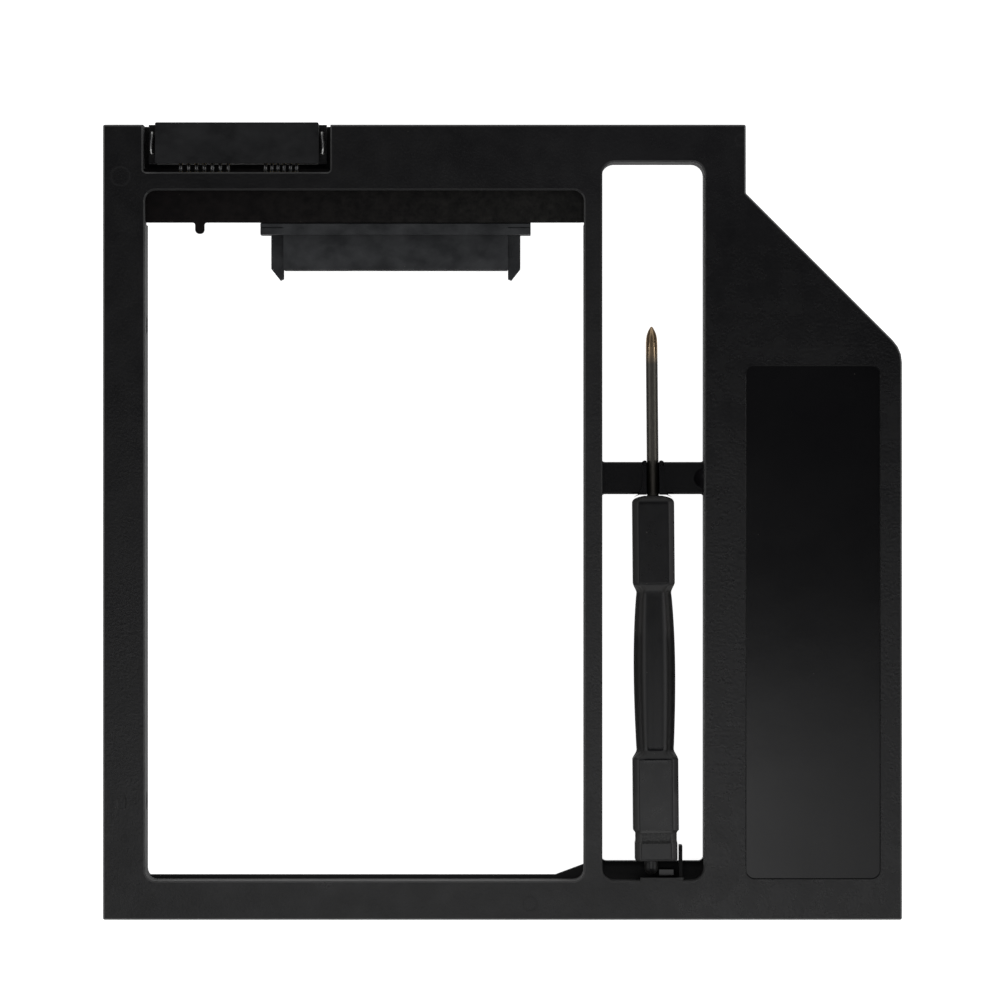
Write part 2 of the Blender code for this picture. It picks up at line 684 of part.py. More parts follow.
def add_tool_pocket(frame):
    """Rest, arm and rib on the slot's sill that hold the end of the tool."""
    centre = axis_x_at(BUTT_Y)
    peg = centre + HANDLE_PEG_OFFSET
    deep = SLOT_FRONT - OVERLAP
    rest_top = AXIS_Z - HANDLE_PEG / 2 - POCKET_CLEARANCE
    rest_half = HANDLE_PEG / 2 - POCKET_CLEARANCE
    rest_front = BUTT_Y - HANDLE_PEG_LENGTH + POCKET_REST_INSET
    add(frame, box("rest", peg - rest_half, peg + rest_half, rest_front,
                   BUTT_Y - POCKET_CLEARANCE, RIB, rest_top))
    arm_left = centre + HANDLE_BUTT / 2 + POCKET_CLEARANCE
    arm_right = arm_left + POCKET_WALL
    add(frame, box("arm", arm_left, arm_right, deep, BUTT_Y + POCKET_ARM, RIB,
                   AXIS_Z + HANDLE_PEG / 2))
    rib_front = SLOT_FRONT + POCKET_RIB_INSET
    rib_left = peg + HANDLE_PEG / 2 + SEAT_GAP * 2
    add(frame, box("rib", rib_left, rib_left + POCKET_RIB_LENGTH, rib_front,
                   rib_front + POCKET_RIB, RIB, rest_top + POCKET_RIB_HEIGHT))
    tab = rectangle(peg - POCKET_TAB_SIDE, arm_right + SEAT_GAP, deep - OVERLAP,
                    SLOT_FRONT + POCKET_TAB)
    levels = [(SKIN_UNDER, 0.0), (THICKNESS - EDGE_BREAK, 0.0), (THICKNESS, EDGE_BREAK)]
    add(frame, prism("tab", tab, levels))


def crossbar_outline():
    """The bar's outline from above, with fillets where it meets the slot's sides."""
    front, rear = CROSSBAR_FRONT, CROSSBAR_REAR
    radius = CROSSBAR_FILLET
    spread = radius * 2
    left, right = SLOT_LEFT - OVERLAP * 2, SLOT_RIGHT + OVERLAP * 2
    wall_left, wall_right = SLOT_LEFT - SEAT_GAP, SLOT_RIGHT + SEAT_GAP
    return [
        (left, front - spread, 0.0),
        (wall_left, front - spread, 0.0),
        (SLOT_LEFT, front, radius),
        (SLOT_RIGHT, front, radius),
        (wall_right, front - spread, 0.0),
        (right, front - spread, 0.0),
        (right, rear + spread, 0.0),
        (wall_right, rear + spread, 0.0),
        (SLOT_RIGHT, rear, radius),
        (SLOT_LEFT, rear, radius),
        (wall_left, rear + spread, 0.0),
        (left, rear + spread, 0.0),
    ]


def clip_claw(side):
    """One side of the shaft clip: a wall with a round end, flared towards the handle."""
    outer = CLIP_BORE + CLIP_WALL
    front = CROSSBAR_FRONT - SEAT_GAP
    tip = CROSSBAR_FRONT - CLIP_FIN
    rear = CROSSBAR_REAR - CLIP_BEAD / 2
    corners = [
        (AXIS_X + side * CLIP_BORE / 2, front, 0.0),
        (AXIS_X + side * (outer + CLIP_FLARE * CLIP_ROOT_SHARE), front, 0.0),
    ]
    for wide, along in CLIP_FLARE_CURVE:
        x = AXIS_X + side * (outer + CLIP_FLARE * wide)
        corners.append((x, tip + CLIP_FLARE_LENGTH * along, 0.0))
    corners += [
        (AXIS_X + side * outer, rear, 0.0),
        (AXIS_X + side * CLIP_BORE / 2, rear, 0.0),
    ]
    if side < 0:
        corners.reverse()
    foot, top = CROSSBAR_TOP - CROSSBAR_EDGE * 2, CROSSBAR_TOP + CLIP_RISE
    claw = prism("claw", corners, [(foot, 0.0), (top, 0.0)])
    bead = [(CLIP_BEAD, foot), (CLIP_BEAD, top), (CLIP_BEAD / 2, top + CLIP_BEAD / 2)]
    add(claw, post("bead", AXIS_X + side * (CLIP_BORE + CLIP_BEAD / 2), rear, bead, 16))
    return claw


def add_crossbar(frame):
    """The bar across the tool slot, with the clip that holds the shaft."""
    levels = [(CROSSBAR_UNDER, 0.0), (CROSSBAR_TOP - CROSSBAR_EDGE, 0.0),
              (CROSSBAR_TOP, CROSSBAR_EDGE)]
    bar = prism("crossbar", crossbar_outline(), levels)
    dish = [(THUMB_RADIUS * wide, CROSSBAR_TOP - THUMB_DEPTH * low) for wide, low in THUMB_DISH]
    dish.append((THUMB_RADIUS, CROSSBAR_TOP + OVERRUN))
    cut(bar, post("thumb", SLOT_RIGHT, CROSSBAR_MIDDLE, dish))
    for side in (-1, 1):
        add(bar, clip_claw(side))
    channel = circle(CLIP_BORE, 13, math.pi, math.pi)
    height = CLIP_RISE + CLIP_BEAD + OVERRUN * 2
    profile = [(x, z) for x, z in channel] + [(CLIP_BORE, height), (-CLIP_BORE, height)]
    reach = CROSSBAR_WIDTH
    groove = extrusion_y("groove", profile, -reach, reach)
    place_on_axis(groove)
    cut(bar, groove)
    add(frame, bar)


def place_on_axis(item):
    """Puts an object that was drawn along Y onto the tool's tilted axis."""
    item.location = (AXIS_X, CROSSBAR_MIDDLE, AXIS_Z)
    item.rotation_euler = (0.0, 0.0, TOOL_TILT)


def add_board_bosses(frame):
    """Bosses under the skin that the board is screwed up against."""
    foot = SKIN_UNDER - BOSS_HEIGHT
    depth = BOARD_UNDER + BOARD_THICKNESS + SCREW_BITE + SEAT_GAP
    for x in SCREW_PLACES.values():
        boss = [(BOSS_RADIUS, foot), (BOSS_RADIUS, SKIN_UNDER + SKIN / 3)]
        add(frame, post("boss", x, SCREW_Y, boss))
        pilot = SCREW_DIAMETER / 2 + SCREW_CLEARANCE
        hole = [(pilot, foot - OVERRUN), (pilot, depth)]
        cut(frame, post("pilot", x, SCREW_Y, hole, 16))


def caddy_frame():
    """The whole moulding."""
    frame = frame_shell()
    cut_main_openings(frame)
    cut_panel(frame)
    cut_gate_mark(frame)
    cut_wall_openings(frame)
    add_bay_sill(frame)
    add_slot_sill(frame)
    add_tool_pocket(frame)
    add_crossbar(frame)
    add_board_bosses(frame)
    return frame


def circuit_board():
    """The board, with a stub of its break-off tab and two screw holes."""
    tab_left = BOARD_LEFT + BOARD_TAB_OFFSET
    tab_right = tab_left + BOARD_TAB_WIDTH
    tab_front = BOARD_FRONT - BOARD_TAB_REACH
    corners = [
        (BOARD_LEFT, BOARD_FRONT, BOARD_CORNER),
        (tab_left, BOARD_FRONT, BOARD_TAB_FILLET),
        (tab_left, tab_front, BOARD_TAB_END),
        (tab_right, tab_front, BOARD_TAB_END),
        (tab_right, BOARD_FRONT, BOARD_TAB_FILLET),
        (BOARD_RIGHT, BOARD_FRONT, BOARD_CORNER),
        (BOARD_RIGHT, BOARD_REAR, BOARD_CORNER),
        (BOARD_LEFT, BOARD_REAR, BOARD_CORNER),
    ]
    board = prism("circuit_board", corners, [(BOARD_UNDER, 0.0), (BOARD_TOP, 0.0)])
    radius = SCREW_DIAMETER / 2 + SCREW_CLEARANCE * 2
    for x in SCREW_PLACES.values():
        hole = [(radius, BOARD_UNDER - OVERRUN), (radius, BOARD_TOP + OVERRUN)]
        cut(board, post("hole", x, SCREW_Y, hole, 16))
    return board


def board_screw(side):
    """A pan-head screw driven up through the board."""
    seat = BOARD_UNDER - SEAT_GAP
    head = SCREW_HEAD / 2
    shank = SCREW_DIAMETER / 2
    tip = BOARD_TOP + SCREW_BITE
    profile = [(head * wide, seat - SCREW_HEAD_HEIGHT * low) for wide, low in SCREW_HEAD_ROUND]
    profile += [(head, seat), (shank, seat), (shank, tip - shank / 2), (shank / 2, tip)]
    x = SCREW_PLACES[side]
    screw = post(f"board_screw_{side}", x, SCREW_Y, profile)
    face = seat - SCREW_HEAD_HEIGHT
    half_length, half_width = SCREW_RECESS_LENGTH / 2, SCREW_RECESS_WIDTH / 2
    for across, along in ((half_length, half_width), (half_width, half_length)):
        cut(screw, box("recess", x - across, x + across, SCREW_Y - along, SCREW_Y + along,
                       face - OVERRUN, face + SCREW_RECESS_DEPTH))
    return screw


def chip(name, x, y, size):
    """A small surface-mount part under the board."""
    width, depth, height = size
    top = BOARD_UNDER - SEAT_GAP
    return box(name, x - width / 2, x + width / 2, y - depth / 2, y + depth / 2,
               top - height, top, CHIP_CORNER)


def drive_contact_places():
    """Where the drive socket's contacts lie across the part."""
    first = SOCKET_LEFT + SOCKET_END
    power = first + DRIVE_SIGNAL_SPAN + DRIVE_GROUP_GAP
    places = [first + CONTACT_PITCH * i for i in range(SIGNAL_CONTACTS)]
    return places, [power + CONTACT_PITCH * i for i in range(DRIVE_POWER_CONTACTS)]


def drive_contact_heights():
    """The lower and upper face of the drive contacts inside the socket's slots."""
    upper = DRIVE_CONTACT_HEIGHT + SOCKET_SLOT_HEIGHT / 2 - CONTACT_CLEARANCE * 2
    return upper - CONTACT_THICKNESS, upper


def socket_arm(side):
    """One guide arm of the drive socket, with its pointed tip."""
    edge = SOCKET_CENTRE + side * SOCKET_WIDTH / 2
    outer = edge + side * SOCKET_ARM_WIDTH
    tip = edge + side * SOCKET_ARM_TIP
    reach = SOCKET_FRONT - SOCKET_ARM_REACH
    corners = [
        (edge - side * OVERLAP, FLANGE_FRONT + OVERLAP, 0.0),
        (edge - side * OVERLAP, SOCKET_FRONT + OVERLAP, 0.0),
        (edge, SOCKET_FRONT + OVERLAP, 0.0),
        (edge, reach + SOCKET_ARM_BLUNT, 0.0),
        (tip, reach, 0.0),
        (outer, SOCKET_FRONT + SOCKET_ARM_BLUNT, 0.0),
        (outer, FLANGE_FRONT + OVERLAP, 0.0),
    ]
    if side > 0:
        corners.reverse()
    levels = [(SOCKET_BASE + SEAT_GAP, 0.0), (SOCKET_TOP - SOCKET_ARM_DROP, 0.0)]
    return prism("arm", corners, levels)


def drive_socket_housing():
    """The drive socket's body: nose, flange, guide arms, keyed slots and contact channels."""
    housing = box("drive_socket_housing", SOCKET_LEFT, SOCKET_RIGHT, SOCKET_FRONT, SOCKET_REAR,
                  SOCKET_BASE, SOCKET_TOP, EDGE_BREAK)
    wing_left, wing_right = SOCKET_LEFT - SOCKET_FLANGE_WING, SOCKET_RIGHT + SOCKET_FLANGE_WING
    foot = SOCKET_BASE + SEAT_GAP
    add(housing, box("flange", wing_left, wing_right, FLANGE_FRONT, FLANGE_REAR,
                     foot, BOARD_TOP))
    add(housing, box("heel", wing_left, wing_right, FLANGE_REAR - OVERLAP,
                     FLANGE_REAR + SOCKET_HEEL, foot, SOCKET_TOP))
    lip = FLANGE_REAR - SOCKET_LIP
    for left, right in ((wing_left - OVERRUN, SOCKET_LEFT), (SOCKET_RIGHT, wing_right + OVERRUN)):
        cut(housing, box("lip_groove", left, right, lip - SOCKET_LIP_GROOVE, lip,
                         BOARD_TOP - SOCKET_LIP_DEPTH, BOARD_TOP + OVERRUN))
    for side in (-1, 1):
        add(housing, socket_arm(side))
    low = DRIVE_CONTACT_HEIGHT - SOCKET_SLOT_HEIGHT / 2
    high = DRIVE_CONTACT_HEIGHT + SOCKET_SLOT_HEIGHT / 2
    signal, power = drive_contact_places()
    for places, key_side in ((signal, -1), (power, 1)):
        left = places[0] - SOCKET_SLOT_MARGIN
        right = places[-1] + SOCKET_SLOT_MARGIN
        cut(housing, box("slot", left, right, SOCKET_FRONT - OVERRUN, SLOT_BACK, low, high))
        end = right if key_side > 0 else left
        key = sorted((end - key_side * SEAT_GAP, end - key_side * SOCKET_KEY))
        cut(housing, box("key", *key, SOCKET_FRONT - OVERRUN, SLOT_BACK - SEAT_GAP,
                         low - SOCKET_KEY, low + SEAT_GAP))
    under, over = drive_contact_heights()
    half = CONTACT_WIDTH / 2 + CONTACT_CLEARANCE
    channels = []
    for x in signal + power:
        channels.append(box("channel", x - half, x + half, SLOT_BACK - OVERRUN / 2,
                            SOCKET_REAR + OVERRUN, under - CONTACT_CLEARANCE,
                            over + CONTACT_CLEARANCE))
    cut(housing, joined("channels", channels))
    return housing


def drive_contact(number, x):
    """A bent strip: blade in the slot, run through the housing, foot under the board."""
    under, over = drive_contact_heights()
    foot_top = BOARD_UNDER - CONTACT_CLEARANCE
    rise = SOCKET_REAR + CONTACT_THICKNESS * 3
    heel = rise + CONTACT_THICKNESS
    toe = rise + SOLDER_FOOT
    tip = SOCKET_FRONT + SOCKET_SLOT_DEPTH / 3
    profile = [
        (tip, under),
        (heel, under),
        (heel, foot_top - CONTACT_THICKNESS),
        (toe, foot_top - CONTACT_THICKNESS),
        (toe, foot_top),
        (rise, foot_top),
        (rise, over),
        (tip, over),
    ]
    half = CONTACT_WIDTH / 2
    return extrusion_x(f"drive_contact_{number:02d}", profile, x - half, x + half)


def drive_socket_tab(side):
    """An angle of sheet metal that solders the drive socket's end to the board."""
    sign = -1 if side == "left" else 1
    edge = SOCKET_CENTRE + sign * (SOCKET_WIDTH / 2 + SEAT_GAP)
    sheet = CONTACT_THICKNESS
    top = BOARD_UNDER - CONTACT_CLEARANCE
    profile = [
        (edge, top - SOLDER_TAB),
        (edge + sign * sheet, top - SOLDER_TAB),
        (edge + sign * sheet, top - sheet),
        (edge + sign * SOLDER_TAB, top - sheet),
        (edge + sign * SOLDER_TAB, top),
        (edge, top),
    ]
    front = FLANGE_REAR + SOCKET_HEEL + SEAT_GAP
    return extrusion_y(f"drive_socket_tab_{side}", profile, front, SOCKET_REAR - SEAT_GAP)


def host_contact_places():
    """Where the host plug's contacts lie across the part, in two groups."""
    first = PLUG_CENTRE - PLUG_HALF + PLUG_SIGNAL_END
    power = first + HOST_SIGNAL_SPAN + PLUG_GROUP_GAP
    places = [first + CONTACT_PITCH * i for i in range(SIGNAL_CONTACTS)]
    return places, [power + HOST_POWER_PITCH * i for i in range(HOST_POWER_CONTACTS)]


def host_plug_housing():
    """The host plug: a shroud open to the rear, with two contact tongues and side ears."""
    left, right = PLUG_CENTRE - PLUG_HALF, PLUG_CENTRE + PLUG_HALF
    housing = box("host_plug_housing", left, right, PLUG_REAR, PLUG_NOSE, PLUG_BASE, PLUG_TOP,
                  EDGE_BREAK)
    add(housing, box("ears", left - PLUG_EAR, right + PLUG_EAR, PLUG_REAR + SEAT_GAP,
                     PLUG_NOSE - PLUG_EAR_SETBACK, PLUG_BASE + SEAT_GAP,
                     PLUG_BASE + PLUG_EAR_HEIGHT))
    cavity_back = PLUG_REAR + PLUG_BACK
    cut(housing, box("cavity", left + PLUG_WALL, right - PLUG_WALL, cavity_back,
                     PLUG_NOSE + OVERRUN, PLUG_BASE + PLUG_WALL, PLUG_TOP - PLUG_WALL))
    channels = []
    half = HOST_CONTACT_WIDTH / 2 + CONTACT_CLEARANCE
    for places in host_contact_places():
        add(housing, box("tongue", places[0] - TONGUE_MARGIN, places[-1] + TONGUE_MARGIN,
                         cavity_back - PLUG_BACK / 2, PLUG_NOSE - PLUG_PROUD,
                         BOARD_TOP - TONGUE_THICKNESS, BOARD_TOP))
        for x in places:
            channels.append(box("channel", x - half, x + half, PLUG_REAR - OVERRUN,
                                cavity_back + OVERRUN / 2, BOARD_TOP + CONTACT_CLEARANCE / 2,
                                BOARD_TOP + CONTACT_THICKNESS + CONTACT_CLEARANCE * 2))
    cut(housing, joined("channels", channels))
    return housing


def host_contact(number, x):
    """A straight strip from the board's pad to the end of its tongue."""
    half = HOST_CONTACT_WIDTH / 2
    low = BOARD_TOP + CONTACT_CLEARANCE
    start = BOARD_REAR - PLUG_PAD + SEAT_GAP
    end = PLUG_NOSE - PLUG_PROUD - PLUG_WALL
    return box(f"host_contact_{number:02d}", x - half, x + half, start, end,
               low, low + CONTACT_THICKNESS)


def host_plug_clip(side):
    """A folded sheet-metal clip that stands on one of the host plug's ears."""
    sign = -1 if side == "left" else 1
    inner = PLUG_CENTRE + sign * (PLUG_HALF + EAR_CLIP_GAP)
    sheet = EAR_CLIP_THICKNESS
    foot = PLUG_BASE + PLUG_EAR_HEIGHT + SEAT_GAP
    top = PLUG_TOP - EAR_CLIP_GAP
    profile = [
        (inner, foot),
        (inner + sign * sheet, foot),
        (inner + sign * sheet, top - sheet),
        (inner + sign * EAR_CLIP_WIDTH, top - sheet),
        (inner + sign * EAR_CLIP_WIDTH, top),
        (inner, top),
    ]
    rear = PLUG_NOSE - PLUG_CLIP_SETBACK - SEAT_GAP
    return extrusion_y(f"host_plug_clip_{side}", profile, rear - EAR_CLIP_LENGTH, rear)


def block_radius(angle, half):
    """The distance from the axis to the side of a square with broken corners."""
    across, up = abs(math.cos(angle)), abs(math.sin(angle))
    return min(half / max(across, up), (2 * half - HANDLE_FACET) / (across + up))


def grip_radius(angle, half):
    """The distance from the axis to the side of the fluted grip."""
    return half - HANDLE_FLUTE_DEPTH * (1 - math.cos(HANDLE_FLUTES * angle)) / 2


def handle_ring(along, block, grip=0.0, share=0.0):
    """A ring of the handle, between a square block and the fluted grip by a share."""
    ring = []
    for i in range(HANDLE_SIDES):
        angle = 2 * math.pi * i / HANDLE_SIDES
        radius = (1 - share) * block_radius(angle, block) + share * grip_radius(angle, grip)
        ring.append((radius * math.cos(angle), along, radius * math.sin(angle)))
    return ring


def shoulder_rings(start, end, block, waist, steps=5):
    """Rings that lead from a block at start to the grip at end in a smooth step."""
    rings = []
    for i in range(steps):
        along = i / steps
        share = along * along * (3 - 2 * along)
        rings.append(handle_ring(start + (end - start) * along, block, waist / 2, share))
    return rings


def screwdriver_handle():
    """The tool's handle, drawn along Y from the crossbar's middle and laid on the axis."""
    butt = BUTT_Y - CROSSBAR_MIDDLE
    top = HANDLE_TOP_Y - CROSSBAR_MIDDLE
    groove = butt + HANDLE_GROOVE_START
    block, upper = HANDLE_BLOCK / 2, HANDLE_TOP_BLOCK / 2
    sunk = block - HANDLE_GROOVE_DEPTH
    cap = HANDLE_BUTT / 2
    rings = [
        handle_ring(butt, cap - EDGE_BREAK),
        handle_ring(butt + EDGE_BREAK, cap),
        handle_ring(groove, cap),
        handle_ring(groove + HANDLE_GROOVE / 3, sunk),
        handle_ring(groove + HANDLE_GROOVE * 2 / 3, sunk),
        handle_ring(groove + HANDLE_GROOVE, block),
    ]
    block_end = butt + HANDLE_BLOCK_LENGTH
    grip_start = block_end + HANDLE_SHOULDER
    upper_start = top - HANDLE_TOP_LENGTH
    grip_end = upper_start - HANDLE_SHOULDER
    rings += shoulder_rings(block_end, grip_start, block, HANDLE_LOWER_WAIST)
    steps = 14
    for i in range(steps + 1):
        share = i / steps
        bulge = math.sin(math.pi * share) ** 0.8
        waist = HANDLE_LOWER_WAIST + (HANDLE_WAIST - HANDLE_LOWER_WAIST) * share
        half = (waist + (HANDLE_SWELL - waist) * bulge) / 2
        rings.append(handle_ring(grip_start + (grip_end - grip_start) * share, block, half, 1.0))
    rings += reversed(shoulder_rings(upper_start, grip_end, upper, HANDLE_WAIST))
    rings.append(handle_ring(top - HANDLE_NOSE * 2, upper))
    for wide, back in HANDLE_NOSE_CURVE:
        rings.append(handle_ring(top - HANDLE_NOSE * back, upper * wide))
    handle = solid("screwdriver_handle", rings)
    add(handle, handle_peg(butt))
    bore = circle(SHAFT_DIAMETER / 2 + SHAFT_FIT)
    cut(handle, extrusion_y("bore", bore, top - SHAFT_SOCKET - SHAFT_FIT, top + OVERRUN))
    place_on_axis(handle)
    return handle


def handle_peg(butt):
    """The round-ended peg on the handle's end that drops into the frame's pocket."""
    radius = HANDLE_PEG / 2
    rings = []
    outline = [(radius, butt + OVERLAP), (radius, butt - HANDLE_PEG_LENGTH + radius)]
    for i in range(1, 5):
        angle = i * math.radians(18.0)
        outline.append((radius * math.cos(angle),
                        butt - HANDLE_PEG_LENGTH + radius - radius * math.sin(angle)))
    for size, along in outline:
        rings.append([(HANDLE_PEG_OFFSET + u, along, v) for u, v in circle(size, 16)])
    return solid("peg", rings)


def screwdriver_blade():
    """The steel shaft with its cross point, on the same axis as the handle."""
    radius = SHAFT_DIAMETER / 2
    start = HANDLE_TOP_Y - CROSSBAR_MIDDLE - SHAFT_SOCKET
    tip = HANDLE_TOP_Y - CROSSBAR_MIDDLE + SHAFT_REACH
    outline = [(radius - EDGE_BREAK, start), (radius, start + EDGE_BREAK)]
    outline += [(radius * wide, tip - POINT_LENGTH * back) for wide, back in POINT_TAPER]
    outline += [(POINT_DIAMETER / 2, tip - POINT_DIAMETER / 4), (POINT_DIAMETER / 4, tip)]
    rings = [[(u, along, v) for u, v in circle(size)] for size, along in outline]
    blade = solid("screwdriver_blade", rings)
    for i in range(POINT_FLUTES):
        cut(blade, point_flute(tip, i * 2 * math.pi / POINT_FLUTES + math.pi / 4))
    place_on_axis(blade)
    return blade


def point_flute(tip, angle):
    """A V-shaped cutter for one flute of the cross point, deepest at the tip."""
    start = tip - POINT_LENGTH - OVERRUN / 2
    rings = []
    for along, root in ((start, SHAFT_DIAMETER / 2), (tip + OVERRUN, FLUTE_ROOT)):
        section = [(root, 0.0), (root + FLUTE_DEPTH, FLUTE_WIDTH), (root + FLUTE_DEPTH, -FLUTE_WIDTH)]
        ring = []
        for out, across in section:
            x = out * math.cos(angle) - across * math.sin(angle)
            z = out * math.sin(angle) + across * math.cos(angle)
            ring.append((x, along, z))
        rings.append(ring)
    return solid("flute", rings)


def shade(item, material, round_piece=False):
    """Gives an object its material, and smooth shading where it is round."""
    item.data.materials.clear()
    item.data.materials.append(material)
    if round_piece:
        item.data.shade_smooth()
        item.data.set_sharp_from_angle(angle=math.radians(30.0))


def build():
    """Makes every piece of the caddy."""
    clear_scene()
    black = plastic_or_metal("caddy_black", (0.012, 0.012, 0.013), 0.45)
    mask = plastic_or_metal("board_mask", (0.010, 0.008, 0.008), 0.35)
    nylon = plastic_or_metal("connector_black", (0.016, 0.017, 0.018), 0.38)
    grip = plastic_or_metal("handle_black", (0.016, 0.016, 0.018), 0.32)
    brass = plastic_or_metal("contact_gold", (0.80, 0.60, 0.28), 0.25, 1.0)
    tin = plastic_or_metal("tinned_sheet", (0.62, 0.62, 0.60), 0.30, 1.0)
    steel = plastic_or_metal("tool_steel", (0.42, 0.38, 0.33), 0.28, 1.0)
    zinc = plastic_or_metal("screw_zinc", (0.50, 0.50, 0.52), 0.30, 1.0)
    ceramic = plastic_or_metal("chip_ceramic", (0.32, 0.24, 0.17), 0.50)
    resist = plastic_or_metal("chip_black", (0.02, 0.02, 0.02), 0.40)

    shade(caddy_frame(), black)
    shade(circuit_board(), mask)
    shade(drive_socket_housing(), nylon)
    signal, power = drive_contact_places()
    for number, x in enumerate(signal + power, start=1):
        shade(drive_contact(number, x), brass)
    shade(host_plug_housing(), nylon)
    host_signal, host_power = host_contact_places()
    for number, x in enumerate(host_signal + host_power, start=1):
        shade(host_contact(number, x), brass)
    for side in ("left", "right"):
        shade(drive_socket_tab(side), tin)
        shade(host_plug_clip(side), tin)
        shade(board_screw(side), zinc, True)
    chip_row = (SOCKET_REAR + SOLDER_FOOT + BOARD_REAR) / 2
    left_chip, right_chip = SOCKET_CENTRE - CHIP_SPACING, SOCKET_CENTRE + CHIP_SPACING
    shade(chip("board_capacitor_left", left_chip, chip_row, CAPACITOR_SIZE), ceramic)
    shade(chip("board_capacitor_right", right_chip, chip_row, CAPACITOR_SIZE), ceramic)
    shade(chip("board_resistor", SOCKET_CENTRE, chip_row, RESISTOR_SIZE), resist)
    handle = screwdriver_handle()
    blade = screwdriver_blade()
    shade(handle, grip, True)
    shade(blade, steel, True)
    carrier = bpy.data.objects.new("screwdriver_axis", None)
    bpy.context.scene.collection.objects.link(carrier)
    carrier.location = (AXIS_X, CROSSBAR_MIDDLE, AXIS_Z)
    bpy.context.view_layer.update()
    for item in (handle, blade):
        item.parent = carrier
        item.matrix_parent_inverse = carrier.matrix_world.inverted()


build()
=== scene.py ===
import math
import random

import bpy
from mathutils import Matrix, Vector


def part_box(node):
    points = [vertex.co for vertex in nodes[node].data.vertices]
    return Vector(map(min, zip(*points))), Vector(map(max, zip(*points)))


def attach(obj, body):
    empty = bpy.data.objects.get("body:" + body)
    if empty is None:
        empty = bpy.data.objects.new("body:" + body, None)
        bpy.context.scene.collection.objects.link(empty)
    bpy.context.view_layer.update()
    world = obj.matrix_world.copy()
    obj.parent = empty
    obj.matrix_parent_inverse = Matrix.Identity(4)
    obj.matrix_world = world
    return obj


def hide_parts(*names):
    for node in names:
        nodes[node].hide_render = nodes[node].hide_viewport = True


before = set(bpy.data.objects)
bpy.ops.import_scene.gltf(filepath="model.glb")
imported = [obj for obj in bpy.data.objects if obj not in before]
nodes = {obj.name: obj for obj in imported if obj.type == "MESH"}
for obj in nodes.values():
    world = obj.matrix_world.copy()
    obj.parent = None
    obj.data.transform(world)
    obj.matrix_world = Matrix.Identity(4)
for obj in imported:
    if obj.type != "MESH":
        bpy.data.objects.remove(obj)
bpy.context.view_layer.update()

MM = 0.001


# Shared positions, read from the CAD nodes, in metres

_, FRAME_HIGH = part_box("caddy_frame")
BOARD_LOW, BOARD_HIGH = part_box("circuit_board")
_, BLADE_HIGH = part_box("screwdriver_blade")
FACE = FRAME_HIGH.z

# Only surfaces less than this far below the face, in millimetres, carry its texture
TEXTURE_DEPTH = 0.27

# A surface whose normal points up or down by less than this share is an upright wall
UPRIGHT_LIMIT = 0.35

# Spans of the frame's parts along X, Y and Z, in millimetres, where its finish changes
CENTRE_RIB = ((13.0, 16.1), (-56.5, 51.5))
CROSSBAR = ((16.0, 32.4), (4.2, 9.6), (4.6, 6.1))
CROSSBAR_DISH = ((28.5, 32.6), (4.6, 9.2), (5.0, 5.925))
# The thumb dish's span, where painted light makes the face's colour lighter
POCKET_ARM = ((28.0, 29.05), (-60.0, -52.0), (4.6, 8.0))
BAY_REAR_WALL = ((-57.0, 13.6), (52.5, 53.35), (5.0, 1000 * FACE - 0.02))
DEEP_SURFACES = (-1.0, 4.6)
# Y span of the painted sheen on the face at the rear right
REAR_SHEEN_BAND = (56.0, 70.0)

# Faint round mould marks on the face: X, Y, radius and line width, in millimetres
MOULD_MARKS = ((-61.2, 55.2, 1.5, 0.30), (-60.6, -50.9, 0.5, 0.25), (38.2, 61.0, 0.9, 0.20),
               (4.4, -61.3, 1.1, 0.20))

# Spans of the tool's handle, in millimetres, where its finish changes
GRIP_Y = (-43.0, -19.0)
MATT_GRIP_Y = (-35.5, -12.0)
DIRTY_GROOVE_Y = (-51.7, -50.0)
WORN_PATCH_X, WORN_PATCH_Y = (22.9, 26.3), (-38.2, -36.9)


# Materials

